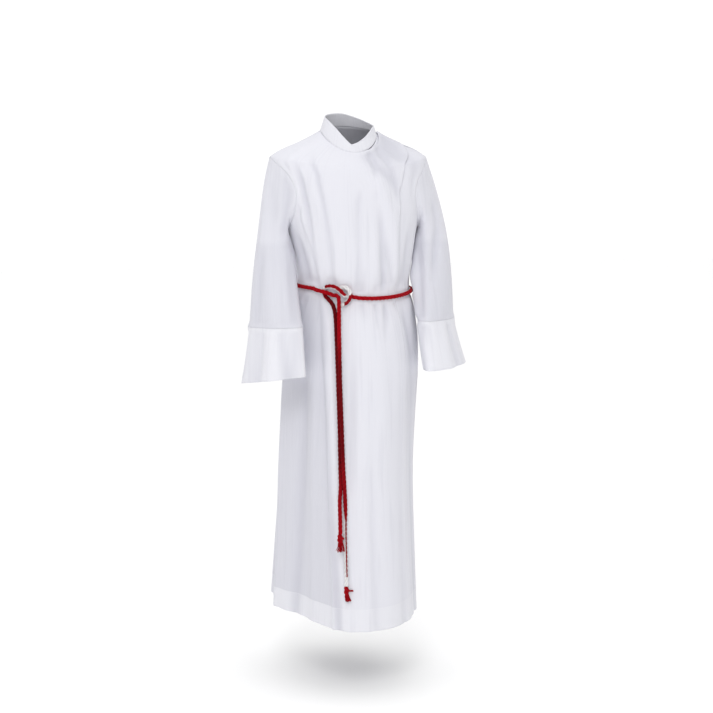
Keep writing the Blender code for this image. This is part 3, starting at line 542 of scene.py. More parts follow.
@dataclass(frozen=True)
class CordFinish:
    """Dyed cotton cord, laid up and left matt: red yarn on one face and white on the other.

    The eye sees a rich, dark red, fine slanting yarns, and a dull fuzz that catches the light at
    the edge. It is painted darker between the strands and between the yarns, nearly black, as
    shade, and so is a stretch that hangs in shadow.
    """

    name: str = "dyed_cotton_twisted_cord"
    red: str = "#C80218"
    # the darker red and the darker white are painted shade: between the strands and yarns, and on
    # stretches in shadow
    red_shaded: str = "#580006"
    white: str = "#FFFFFF"
    white_shaded: str = "#E4E0E2"
    roughness: float = 0.8
    specular: float = 0.08
    sheen: float = 0.02
    yarn: float = 1.1               # mm between yarns along a strand
    yarns_round: int = 7
    yarn_relief: float = 0.22       # mm

    def material(self) -> bpy.types.Material:
        """Build the cord's nodes.

        Returns:
            The material. It reads the "unrolled" UV map of each strand, the "red" attribute,
            which is above 0 where the yarn is dyed, and the attribute of painted shade, which is 1
            where the cord is painted darkest.
        """
        made, tree, shader = start_material(self.name, {
            "Roughness": self.roughness, "Specular IOR Level": self.specular,
            "Sheen Weight": self.sheen})
        unrolled = add_node(tree, "ShaderNodeUVMap", {"uv_map": "unrolled"})
        apart = add_node(tree, "ShaderNodeSeparateXYZ", None, None, {0: unrolled.outputs[0]})
        along = add_node(tree, "ShaderNodeMath", {"operation": "MULTIPLY"},
                         {1: 1000 / self.yarn / self.yarns_round}, {0: apart.outputs[0]})
        slant = add_node(tree, "ShaderNodeMath", {"operation": "ADD"}, None,
                         {0: along.outputs[0], 1: apart.outputs[1]})
        turned = add_node(tree, "ShaderNodeMath", {"operation": "MULTIPLY"},
                          {1: 2 * math.pi * self.yarns_round}, {0: slant.outputs[0]})
        yarns = add_node(tree, "ShaderNodeMath", {"operation": "SINE"}, None,
                         {0: turned.outputs[0]}).outputs[0]
        # painted shade: the valleys between the yarns are mixed towards the darker tone
        depth = add_node(tree, "ShaderNodeMapRange", None,
                         {"From Min": -1.0, "From Max": 0.6, "To Min": 0.65, "To Max": 0.0},
                         {"Value": yarns})
        dyed = add_node(tree, "ShaderNodeAttribute", {"attribute_name": "red"})
        edge = add_node(tree, "ShaderNodeMapRange", None,
                        {"From Min": -0.05, "From Max": 0.05}, {"Value": dyed.outputs["Fac"]})
        # painted shade between the strands, on stretches in shadow and in the knots
        groove = add_node(tree, "ShaderNodeAttribute", {"attribute_name": "groove"})
        shades = []
        for light, dark in ((self.white, self.white_shaded), (self.red, self.red_shaded)):
            fine = add_node(tree, "ShaderNodeMix", COLOURS,
                            {6: linear(light), 7: linear(dark)}, {0: depth.outputs[0]})
            shades.append(add_node(tree, "ShaderNodeMix", COLOURS,
                                   {7: linear(dark)},
                                   {0: groove.outputs["Fac"], 6: fine.outputs[2]}).outputs[2])
        both = add_node(tree, "ShaderNodeMix", COLOURS, None,
                        {0: edge.outputs[0], 6: shades[0], 7: shades[1]})
        tree.links.new(both.outputs[2], shader.inputs["Base Color"])
        raised = add_node(tree, "ShaderNodeBump", None,
                          {"Strength": 1.0, "Distance": self.yarn_relief * MILLIMETRE},
                          {"Height": yarns})
        tree.links.new(raised.outputs[0], shader.inputs["Normal"])
        return made


@dataclass(frozen=True)
class ThreadFinish:
    """Spun polyester sewing thread, a shade whiter than the cloth, with a faint sheen."""

    name: str = "spun_polyester_sewing_thread"
    colour: str = "#EFEFF3"
    colour_low: str = "#D5D5DC"
    roughness: float = 0.6
    twist: float = 1.2              # mm between the twists that show

    def material(self) -> bpy.types.Material:
        """Build the thread's nodes.

        Returns:
            The material, which reads Object coordinates.
        """
        made, tree, shader = start_material(self.name, {"Roughness": self.roughness})
        place = add_node(tree, "ShaderNodeTexCoord").outputs["Object"]
        noise = add_node(tree, "ShaderNodeTexNoise", None,
                         {"Scale": 1000 / self.twist, "Detail": 1.0}, {"Vector": place})
        shade = add_node(tree, "ShaderNodeMix", COLOURS,
                         {6: linear(self.colour_low), 7: linear(self.colour)},
                         {0: noise.outputs[0]})
        tree.links.new(shade.outputs[2], shader.inputs["Base Color"])
        return made


# ------------------------------------------------------------------ folds
@dataclass(frozen=True)
class Fold:
    """A soft ridge, or with a negative depth a trough, along a line on the unrolled cloth.

    Attributes:
        depth: metres that its crest stands out.
        width: metres from the crest to where it has mostly died away.
        line: places on its crest: degrees round, height in metres, and share of the depth.
        steep: how much narrower it is on the side of the larger angles.
    """

    depth: float
    width: float
    line: tuple[Place, ...]
    steep: float = 1.0

    def lift(self, degrees: np.ndarray, heights: np.ndarray, radii: np.ndarray) -> np.ndarray:
        """How far the fold moves each point out.

        Args:
            degrees: the points' angles round the axis.
            heights: their heights.
            radii: their distances from the axis.

        Returns:
            Metres outward for each point.
        """
        best = np.zeros_like(degrees)
        for (turn_a, height_a, share_a), (turn_b, height_b, share_b) in zip(self.line,
                                                                           self.line[1:]):
            across = np.radians(off_centre(degrees, turn_a)) * radii
            upward = heights - height_a
            run = math.radians(turn_b - turn_a) * radii
            rise = height_b - height_a
            length = run * run + rise * rise
            place = np.clip((across * run + upward * rise) / length, 0.0, 1.0)
            gap_across = across - place * run
            gap_upward = upward - place * rise
            width = np.where(gap_across > 0, self.width / self.steep, self.width)
            share = share_a + (share_b - share_a) * smoothstep(place)
            value = share * np.exp(-(gap_across ** 2 + gap_upward ** 2) / width ** 2)
            best = np.where(np.abs(value) > np.abs(best), value, best)
        return best * self.depth


def slow_waves(degrees: np.ndarray, heights: np.ndarray, size: float, seed: int) -> np.ndarray:
    """Gentle unevenness, drawn out along the warp, from a few sines that never line up.

    Args:
        degrees: the points' angles.
        heights: their heights.
        size: metres that the highest places stand out.
        seed: which set of sines it is.

    Returns:
        Metres outward for each point.
    """
    chance = random.Random(seed)
    total = np.zeros_like(degrees)
    for layer in range(6):
        turns = chance.randint(3, 6 + 4 * layer)
        rise = chance.uniform(6, 14 + 6 * layer)
        start = chance.uniform(0, 2 * math.pi)
        bend = chance.uniform(4, 11)
        lean = 0.8 * np.sin(heights * bend + start)
        across = np.sin(np.radians(degrees) * turns + lean + start)
        total += across * np.sin(heights * rise + 2 * start) / (1 + layer)
    return total * size / 2


class Side(Enum):
    """Which arm a sleeve or cuff is on, with the sign of its x."""

    RIGHT = -1
    LEFT = 1


@dataclass(frozen=True)
class BodyAxis:
    """The upright middle line of the body, which leans a little, at a few heights."""

    heights: tuple[float, ...] = (-1.08, -0.93, -0.75, -0.60, -0.49, -0.41, -0.35, -0.265,
                                  -0.215, -0.13, -0.06, 0.0)
    x: tuple[float, ...] = (-0.010, -0.008, -0.006, 0.000, 0.003, 0.002, 0.002, 0.002, 0.001,
                            0.000, 0.000, 0.000)
    y: tuple[float, ...] = (0.020, 0.014, 0.008, 0.002, -0.004, -0.014, -0.020, -0.022, -0.018,
                            -0.010, -0.004, -0.003)
    mean_radius: float = 0.150

    def unroll(self, points: np.ndarray) -> tuple[np.ndarray, np.ndarray, np.ndarray]:
        """Find where points are on the unrolled body.

        Args:
            points: rows of x, y and z.

        Returns:
            Degrees from the centre front towards the wearer's left, heights, and metres from the
            axis.
        """
        across = points[:, 0] - np.interp(points[:, 2], self.heights, self.x)
        forward = -(points[:, 1] - np.interp(points[:, 2], self.heights, self.y))
        return (np.degrees(np.arctan2(across, forward)), points[:, 2],
                np.hypot(across, forward))

    def outward(self, degrees: np.ndarray, heights: np.ndarray) -> np.ndarray:
        """Find the way out: level on the body, and turning upward on the shoulders.

        Args:
            degrees: the points' angles.
            heights: their heights.

        Returns:
            Rows of unit vectors.
        """
        turned = np.radians(degrees)
        ways = np.column_stack((np.sin(turned), -np.cos(turned), np.zeros_like(turned)))
        ways[:, 2] = 2.2 * ramp(heights, -0.085, 0.06) * np.abs(np.sin(turned)) ** 1.5
        return ways / np.linalg.norm(ways, axis=1)[:, None]

    def level_way(self, degrees: float) -> Vector:
        """The level way out at an angle."""
        turned = math.radians(degrees)
        return Vector((math.sin(turned), -math.cos(turned), 0.0))

    def at(self, height: float) -> Vector:
        """The axis at a height."""
        return Vector((float(np.interp(height, self.heights, self.x)),
                       float(np.interp(height, self.heights, self.y)), height))


@dataclass(frozen=True)
class SleeveAxis:
    """The middle line of a sleeve, from the shoulder tip to the wrist."""

    side: Side
    heights: tuple[float, ...] = (-0.537, -0.480, -0.424, -0.345, -0.258, -0.150, -0.060)
    out: tuple[float, ...] = (0.1976, 0.1900, 0.1838, 0.1795, 0.1745, 0.1680, 0.1600)
    forward: tuple[float, ...] = (0.105, 0.090, 0.075, 0.048, 0.020, 0.006, 0.000)
    mean_radius: float = 0.050

    def unroll(self, points: np.ndarray) -> tuple[np.ndarray, np.ndarray, np.ndarray]:
        """Find where points are on the unrolled sleeve.

        Args:
            points: rows of x, y and z.

        Returns:
            Degrees from straight out towards the front, heights, and metres from the axis.
        """
        out = points[:, 0] * self.side.value - np.interp(points[:, 2], self.heights, self.out)
        ahead = -points[:, 1] - np.interp(points[:, 2], self.heights, self.forward)
        return np.degrees(np.arctan2(ahead, out)), points[:, 2], np.hypot(out, ahead)

    def outward(self, degrees: np.ndarray, heights: np.ndarray) -> np.ndarray:
        """Find the way out: level, and turning upward over the shoulder.

        Args:
            degrees: the points' angles.
            heights: their heights.

        Returns:
            Rows of unit vectors.
        """
        turned = np.radians(degrees)
        ways = np.column_stack((self.side.value * np.cos(turned), -np.sin(turned),
                                0.8 * ramp(heights, -0.16, 0.1)))
        return ways / np.linalg.norm(ways, axis=1)[:, None]

    def level_way(self, degrees: float) -> Vector:
        """The level way out at an angle."""
        turned = math.radians(degrees)
        return Vector((self.side.value * math.cos(turned), -math.sin(turned), 0.0))

    def at(self, height: float) -> Vector:
        """The axis at a height."""
        return Vector((self.side.value * float(np.interp(height, self.heights, self.out)),
                       -float(np.interp(height, self.heights, self.forward)), height))


@dataclass
class Stillness:
    """Lines where the cloth keeps its place: the seams between pieces, and under the cord.

    Each line holds the cloth wholly within its near distance, and not at all past its reach.
    """

    near: float = 0.001
    seam_gap: float = 0.0018        # metres: closer than this to its neighbour is a seam
    seam_reach: float = 0.015
    cord_near: float = 0.0055
    cord_reach: float = 0.0150
    step: float = 0.004             # metres between the places that are held
    trees: list[tuple[kdtree.KDTree, float, float]] = field(default_factory=list)

    def hold_seams(self, frame: dict) -> None:
        """Find where sleeves meet the body, cuffs the sleeves and the collar the neckline.
        """
        body = ("front_wrap", "front_under", "back")
        for upper, lowers in ((body, ("sleeve_right", "sleeve_left", "collar")),
                              (("sleeve_right",), ("cuff_right",)),
                              (("sleeve_left",), ("cuff_left",))):
            surface = cloth_tree([frame["nodes"][name] for name in upper])
            line = []
            for mesh in (frame["nodes"][name].data for name in lowers):
                for edge in mesh.edges:
                    start, end = (mesh.vertices[number].co for number in edge.vertices)
                    if min(surface.find_nearest(start)[3],
                           surface.find_nearest(end)[3]) > 4 * self.seam_gap:
                        continue
                    steps = max(1, round((end - start).length / self.step))
                    places = [start.lerp(end, step / steps) for step in range(steps + 1)]
                    line += [place for place in places
                             if surface.find_nearest(place)[3] < self.seam_gap]
            self.trees.append((search_tree(line), self.near, self.seam_reach))

    def hold_cord(self, routes: tuple[tuple[Place, ...], ...]) -> None:
        """Keep the cloth flat under the cord.

        Args:
            routes: the middle lines of the cord's stretches.
        """
        places = [point for route in routes for point in smooth_route(route, self.step)]
        self.trees.append((search_tree(places), self.cord_near, self.cord_reach))

    def freedom(self, points: np.ndarray) -> np.ndarray:
        """Work out how freely each point may move.

        Args:
            points: rows of x, y and z.

        Returns:
            For each point, from 0 on a held line to 1.
        """
        free = np.ones(len(points))
        for tree, near, reach in self.trees:
            away = np.array([tree.find(point)[2] for point in points])
            free *= ramp(away, near, reach - near)
        return free


# ------------------------------------------------------------------ pieces of cloth
@dataclass
class ClothPiece:
    """One sewn piece: its solid made smooth, creased, unrolled and dressed.

    Attributes:
        node: the solid that it replaces.
        axis: what its folds turn round.
        folds: the folds that reach it.
        flat: width and length of the smallest rectangle that the cut fits in, in metres; not used.
        area: the cut's own flat area, in square metres; not used.
        levels: how many times the smoothing halves each face.
        unevenness: metres of gentle waves all over.
        boldness: how much deeper its folds are than their plan.
        full_crease: metres that a trough sinks where its painted shade is greyest.
        seed: which set of gentle waves it has.
        tube: whether it closes round its axis.
        behind: whether its angles run through the centre back.
        doubled: whether it is double cloth all over.
        rim_hardness: how crisp its rims stay when it is smoothed.
        rim_turn: degrees: a sharper turn between two faces is a rim.
        held: how it is held up; not used.
        pressed: an edge that is ironed flat against the layer beneath.
        gape: angles, and the metres that a free foot rises there.
    """

    node: str
    axis: BodyAxis | SleeveAxis
    folds: tuple[Fold, ...]
    flat: tuple[float, float]
    area: float
    levels: int = 2
    unevenness: float = 0.0006
    boldness: float = 1.4
    full_crease: float = 0.0042
    seed: int = 1
    tube: bool = False
    behind: bool = False
    doubled: bool = False
    rim_hardness: float = 0.9
    rim_turn: float = 62.0
    held: str = "hung"
    pressed: Fold | None = None
    gape: tuple[tuple[float, float], ...] = ()

    def build(self, frame: dict, finish: bpy.types.Material,
              still: Stillness) -> bpy.types.Object:
        """Make the finished piece.

        Args:
            finish: the cloth's material.
            still: the lines where the cloth keeps its place.

        Returns:
            The piece, on its body, in place of its solid.
        """
        piece = self.smooth_copy(frame["nodes"][self.node])
        points = read_points(piece.data)
        degrees, heights, radii = self.axis.unroll(points)
        free = still.freedom(points)
        creases = np.zeros_like(degrees)
        for fold in self.folds:
            creases += fold.lift(degrees, heights, radii)
        lift = creases * self.boldness + slow_waves(degrees, heights, self.unevenness, self.seed)
        if self.pressed:
            lift += self.pressed.lift(degrees, heights, radii)
        points += self.axis.outward(degrees, heights) * (lift * free)[:, None]
        if self.gape:
            points[:, 2] += np.interp(degrees, *zip(*self.gape)) * (1 - free)
        write_points(piece.data, points)
        if self.behind:
            degrees = degrees % 360
        across = np.radians(degrees) * self.axis.mean_radius
        write_unrolled(piece.data, across, heights,
                       2 * math.pi * self.axis.mean_radius if self.tube else None)
        write_attribute(piece.data, "doubled", self.doubling(degrees, heights))
        write_attribute(piece.data, "backed", self.backing_and_shade(degrees, heights))
        # painted shade: each trough is painted greyer as it sinks
        creased = np.clip(-creases * free / self.full_crease, 0.0, 1.0)
        write_attribute(piece.data, "creased", creased)
        finish_piece(piece, finish, (self.node,))
        return piece

    def smooth_copy(self, solid: bpy.types.Object) -> bpy.types.Object:
        """Turn the solid's triangles back into a grid of faces and smooth it.

        Args:
            solid: the CAD node.

        Returns:
            A new object with crisp rims and faces about 5 mm across.
        """
        bm = bmesh.new()
        bm.from_mesh(solid.data)
        bmesh.ops.remove_doubles(bm, verts=bm.verts, dist=0.02 * MILLIMETRE)
        bmesh.ops.join_triangles(bm, faces=bm.faces, angle_face_threshold=math.radians(60),
                                 angle_shape_threshold=math.radians(90), topology_influence=2.0)
        crease = bm.edges.layers.float.new("crease_edge")
        for edge in bm.edges:
            if edge.is_manifold and edge.calc_face_angle() > math.radians(self.rim_turn):
                edge[crease] = self.rim_hardness
        name = self.node + "_rough"
        smooth = as_it_shows(name, made_of(bm, name), self.levels)
        bm = bmesh.new()
        bm.from_mesh(smooth)
        bpy.data.meshes.remove(smooth)
        self.cut_long_faces(bm)
        name = self.node + "_cloth"
        return put_in_scene(name, made_of(bm, name))

    def cut_long_faces(self, bm: bmesh.types.BMesh) -> None:
        """Halve the long upright edges below the underarm, where the rows are far apart.

        Args:
            bm: the smoothed piece, which is changed.
        """
        if isinstance(self.axis, SleeveAxis) or self.doubled:
            return
        upright = [edge for edge in bm.edges
                   if (edge.verts[0].co.z + edge.verts[1].co.z) / 2 < UNDERARM
                   and abs(edge.verts[0].co.z - edge.verts[1].co.z) > 0.7 * edge.calc_length()]
        bmesh.ops.subdivide_edges(bm, edges=upright, cuts=1, use_grid_fill=True)

    def doubling(self, degrees: np.ndarray, heights: np.ndarray) -> np.ndarray:
        """Find where the cloth is double.

        Args:
            degrees: the points' angles.
            heights: their heights.

        Returns:
            Millimetres from the edge of the doubled cloth, above 0 where it is double.
        """
        if self.doubled:
            return np.full(len(heights), 50.0)
        if isinstance(self.axis, SleeveAxis):
            return np.full(len(heights), -50.0)
        return (hem_top(degrees) - heights) * 1000

    def backing_and_shade(self, degrees: np.ndarray, heights: np.ndarray) -> np.ndarray:
        """Work out how closely another layer lies behind the cloth, which sets its painted shade:
        the less closely, the more shade of the robe's inside shows through, and at the wearer's
        left shoulder it is lowered further, as painted shade of the wearer's head and neck.

        Args:
            degrees: the points' angles.
            heights: their heights.

        Returns:
            For each point, from 0 where none does, greyest, to 1.
        """
        if isinstance(self.axis, SleeveAxis):
            # the sleeve: whiter above, where the wearer's shirt sleeve lies behind it; greyer
            # below, painted shade of the sleeve's inside showing through
            return 0.10 + 0.55 * ramp(heights, -0.254, 0.022)
        off = off_centre(degrees, 0.0)
        # the skirt: whiter where the lap covers the inner front, and a little at the sides;
        # elsewhere greyer, painted shade of the inside showing through
        start = np.interp(heights, *zip(*INNER_EDGE))
        spread = np.interp(heights, (-0.74, -0.66, -0.45), (2.0, 4.0, 16.0))
        lapped = smoothstep(0.5 + (off - start) / (2 * spread))
        lapped *= 1 - 0.25 * ramp(off, 44.0, 4.0)
        behind = ramp(np.abs(off), 60.0, 50.0)
        skirt = lapped + (0.35 - lapped) * behind
        # above the cord it lies close; at the wearer's left shoulder it is painted greyer, as the
        # shade of the wearer's head and neck
        upper = ramp(heights, -0.372, 0.030)
        head_shadow = ramp(off, 6.0, 30.0) * ramp(-off, -96.0, 15.0)
        upper *= 1 - 0.7 * head_shadow * ramp(heights, -0.15, 0.07)
        return skirt + (1 - 0.40 * behind - skirt) * upper


def hem_top(degrees: np.ndarray | float) -> np.ndarray | float:
    """Find the height of the doubled hem's upper edge, which rises towards the back.

    Args:
        degrees: angles round the body.

    Returns:
        The height at each angle.
    """
    left, right, front, back = -1.0350, -1.0254, -1.0370, -1.0255
    turned = np.radians(degrees)
    side = np.where(np.sin(turned) > 0, left, right)
    end = np.where(np.cos(turned) > 0, front, back)
    return side + (end - side) * np.abs(np.cos(turned)) ** 1.3


def body_folds() -> tuple[Fold, ...]:
    """Place the folds of the fronts and the back.

    Returns:
        All of them, with the gathers at the cord and the falls of the skirt.
    """
    placed = (
        # three slanting pleats from the wearer's right shoulder, with soft ridges beside them
        Fold(-0.0036, 0.0075, ((-60, -0.038, 0.0), (-46, -0.096, 1.0), (-41, -0.150, 0.9),
            (-39, -0.193, 0.8), (-37, -0.243, 0.6), (-36, -0.315, 0.5), (-36, -0.336, 0.0)), 1.2),
        Fold(0.0022, 0.0090, ((-64, -0.045, 0.0), (-52, -0.096, 1.0), (-47, -0.150, 0.8),
            (-45, -0.193, 0.6), (-43, -0.270, 0.0))),
        Fold(-0.0042, 0.0075, ((-66, -0.048, 0.0), (-59, -0.113, 1.0), (-56.5, -0.162, 1.0),
            (-56, -0.200, 0.8), (-57, -0.264, 0.4), (-54, -0.325, 0.4), (-54, -0.340, 0.0)), 1.2),
        Fold(0.0024, 0.0080, ((-70, -0.055, 0.0), (-64, -0.113, 1.0), (-62, -0.162, 0.8),
            (-62, -0.220, 0.0))),
        Fold(-0.0034, 0.0070, ((-71, -0.060, 0.0), (-67.5, -0.099, 1.0), (-65, -0.135, 0.9),
            (-64, -0.165, 0.7), (-64, -0.205, 0.0))),
        # pulled from the neck on the wearer's left towards the chest
        Fold(-0.0032, 0.0120, ((12, -0.052, 0.0), (19, -0.063, 0.8), (27, -0.080, 1.0),
            (36, -0.100, 1.0), (41, -0.128, 0.7), (44, -0.170, 0.0))),
        Fold(-0.0034, 0.0090, ((54, -0.026, 0.0), (50, -0.036, 0.8), (45, -0.053, 1.0),
            (41, -0.074, 1.0), (42, -0.098, 0.8), (44, -0.150, 0.0))),
        Fold(-0.0032, 0.0080, ((32, -0.040, 0.0), (29, -0.050, 1.0), (24, -0.070, 0.9),
            (22, -0.090, 0.0))),
        Fold(0.0028, 0.0120, ((10, -0.085, 0.0), (18, -0.108, 0.9), (26, -0.134, 1.0),
            (31, -0.175, 0.6), (34, -0.240, 0.0))),
        Fold(-0.0026, 0.0080, ((24, -0.056, 0.0), (18.5, -0.093, 1.0), (18.7, -0.127, 0.6),
            (19, -0.165, 0.0))),
        Fold(-0.0024, 0.0110, ((74, -0.030, 0.0), (66, -0.070, 1.0), (62, -0.110, 0.8),
            (60, -0.170, 0.0))),
        Fold(-0.0036, 0.0120, ((92, -0.006, 0.0), (82, -0.016, 1.0), (68, -0.032, 1.0),
            (58, -0.055, 0.8), (52, -0.085, 0.0))),
        Fold(-0.0024, 0.0240, ((72, -0.026, 0.6), (50, -0.040, 1.0), (32, -0.054, 1.0),
            (16, -0.060, 0.4), (6, -0.062, 0.0))),
        # soft upright folds of the blouse
        Fold(-0.0036, 0.0090, ((21, -0.150, 0.0), (22.5, -0.214, 0.7), (22, -0.277, 1.0),
            (25, -0.330, 0.9), (25, -0.343, 0.0))),
        Fold(-0.0026, 0.0075, ((27, -0.222, 0.0), (29.5, -0.270, 1.0), (36, -0.325, 0.8),
            (38, -0.341, 0.0))),
        Fold(0.0028, 0.0100, ((36, -0.165, 0.0), (37, -0.215, 0.9), (37, -0.262, 1.0),
            (40, -0.310, 0.6), (42, -0.336, 0.0))),
        Fold(0.0020, 0.0100, ((12, -0.190, 0.0), (14, -0.250, 0.8), (14.5, -0.310, 1.0),
            (15, -0.341, 0.0))),
        Fold(-0.0018, 0.0080, ((-1, -0.115, 0.0), (-4, -0.155, 1.0), (-6, -0.200, 0.8),
            (-6, -0.330, 0.8), (-6, -0.342, 0.0))),
        Fold(0.0014, 0.0120, ((-20, -0.110, 0.0), (-18, -0.180, 0.8), (-17, -0.300, 1.0),
            (-17, -0.340, 0.0))),
        Fold(-0.0030, 0.0110, ((60, -0.190, 0.0), (58, -0.260, 1.0), (56, -0.325, 0.9),
            (56, -0.345, 0.0))),
        Fold(-0.0034, 0.0120, ((-78, -0.200, 0.0), (-74, -0.270, 1.0), (-68, -0.320, 1.0),
            (-66, -0.336, 0.0))),
        # skirt: the long edge of the inner layer shows through, and soft falls from the cord
        Fold(-0.0036, 0.0110, ((-54, -0.368, 0.0), (-47, -0.400, 0.4), (-42, -0.430, 0.6),
            (-34.6, -0.583, 0.8), (-26.5, -0.734, 0.8), (-21.7, -0.887, 0.9), (-18, -0.990, 1.0),
            (-16, -1.090, 1.1))),
        Fold(0.0026, 0.0130, ((-40, -0.390, 0.0), (-33, -0.450, 1.0), (-26, -0.583, 0.8),
            (-19, -0.734, 0.7), (-14, -0.887, 0.9), (-10, -1.090, 1.1))),
        Fold(-0.0034, 0.0130, ((-66, -0.400, 0.0), (-60, -0.500, 0.8), (-57, -0.589, 1.0),
            (-56, -0.712, 1.0), (-59, -0.861, 1.0), (-62, -1.090, 1.2))),
        Fold(0.0030, 0.0130, ((-52, -0.480, 0.0), (-47, -0.600, 0.8), (-44, -0.740, 1.0),
            (-42, -0.900, 0.8), (-40, -1.090, 1.1))),
        Fold(-0.0017, 0.0090, ((3.6, -0.660, 0.0), (3.9, -0.770, 0.7), (4.2, -0.900, 1.0),
            (5, -1.000, 1.0), (5.5, -1.090, 1.0))),
        Fold(0.0013, 0.0090, ((-1, -0.600, 0.0), (-1, -0.733, 0.8), (-1, -0.930, 1.0),
            (-0.5, -1.090, 1.0))),
        Fold(-0.0006, 0.0100, ((23, -0.430, 0.0), (23.3, -0.540, 1.0), (23.4, -0.650, 1.0),
            (20.5, -0.760, 0.4), (20, -0.810, 0.0))),
        Fold(0.0007, 0.0130, ((13, -0.400, 0.0), (13, -0.520, 1.0), (13, -0.700, 0.8),
            (14, -0.900, 0.8), (15, -1.090, 1.1))),
        Fold(-0.0026, 0.0080, ((26, -0.372, 0.0), (25, -0.392, 1.0), (22.5, -0.425, 0.7),
            (19.5, -0.470, 0.0))),
        Fold(-0.0018, 0.0090, ((-13, -0.420, 0.0), (-11, -0.580, 1.0), (-9.7, -0.730, 0.6),
            (-9, -0.820, 0.0))),
        Fold(-0.0010, 0.0120, ((41, -0.380, 0.0), (37, -0.460, 0.6), (34, -0.600, 0.8),
            (31, -0.800, 0.9), (29, -1.090, 1.6))),
        Fold(-0.0030, 0.0110, ((52, -0.372, 0.0), (53, -0.420, 0.9), (55, -0.600, 0.7),
            (57, -0.850, 0.9), (58, -1.090, 1.2))),
        Fold(0.0040, 0.0280, ((74, -0.362, 0.3), (74, -0.385, 1.0), (75, -0.430, 0.9),
            (76, -0.520, 0.4), (76, -0.620, 0.0))),
        Fold(0.0038, 0.0220, ((-76, -0.362, 0.3), (-75, -0.385, 1.0), (-73, -0.430, 1.0),
            (-70, -0.490, 0.7), (-68, -0.560, 0.0))),
        # the back: falls from the yoke and from the cord
        Fold(-0.0034, 0.0140, ((170, -0.080, 0.0), (168, -0.150, 0.9), (166, -0.260, 1.0),
            (165, -0.325, 0.0))),
        Fold(-0.0030, 0.0120, ((-158, -0.090, 0.0), (-160, -0.170, 1.0), (-163, -0.280, 0.7),
            (-165, -0.320, 0.0))),
        Fold(0.0028, 0.0140, ((128, -0.120, 0.0), (126, -0.210, 1.0), (127, -0.290, 0.7),
            (128, -0.325, 0.0))),
        Fold(-0.0034, 0.0130, ((-126, -0.150, 0.0), (-124, -0.230, 1.0), (-125, -0.300, 0.8),
            (-126, -0.322, 0.0))),
    )
    return placed + waist_gathers() + skirt_falls()


def waist_gathers() -> tuple[Fold, ...]:
    """Place the short folds that the cord draws in, unevenly spaced all round.

    Returns:
        Troughs above and below the cord, with some left out.
    """
    in_front, rise, left_out, last = -0.3608, 0.0220, 0.22, 176.0
    chance = random.Random(11)
    folds = []
    degrees = -last
    while degrees < last:
        cord = in_front + rise * (1 - math.cos(math.radians(degrees))) / 2
        for above in (True, False):
            if chance.random() < left_out:
                continue
            reach = chance.uniform(0.028, 0.075)
            way = 1 if above else -1
            lean = chance.uniform(-4.5, 4.5)
            start = degrees + chance.uniform(-1.5, 1.5)
            folds.append(Fold(-chance.uniform(0.0012, 0.0026), chance.uniform(0.0060, 0.0085), (
                (start, cord + way * 0.006, 0.0), (start + lean * 0.2, cord + way * 0.016, 1.0),
                (start + lean * 0.6, cord + way * (0.012 + reach * 0.5), 0.6),
                (start + lean, cord + way * (0.012 + reach), 0.0))))
        degrees += chance.uniform(8.5, 15.5)
    return tuple(folds)


def skirt_falls() -> tuple[Fold, ...]:
    """Place long soft folds down the sides and back of the skirt, where none is yet.

    Returns:
        Ridges and troughs that grow towards the hem.
    """
    chance = random.Random(23)
    folds = []
    for degrees in (78, 90, 108, 120, 146, 168, 188, 212, 236, 250, 262, 274):
        start = degrees + chance.uniform(-3, 3)
        drift = chance.uniform(-5, 5)
        top = chance.uniform(-0.46, -0.375)
        folds.append(Fold(chance.choice((-1, 1, -1)) * chance.uniform(0.0026, 0.0044),
                          chance.uniform(0.011, 0.018), (
            (start, top, 0.0), (start + drift * 0.3, top - 0.12, 0.8),
            (start + drift * 0.6, top - 0.34, 0.9), (start + drift, HEM_EDGE, 1.5)),
                          chance.uniform(0.8, 1.3)))
    return tuple(folds)


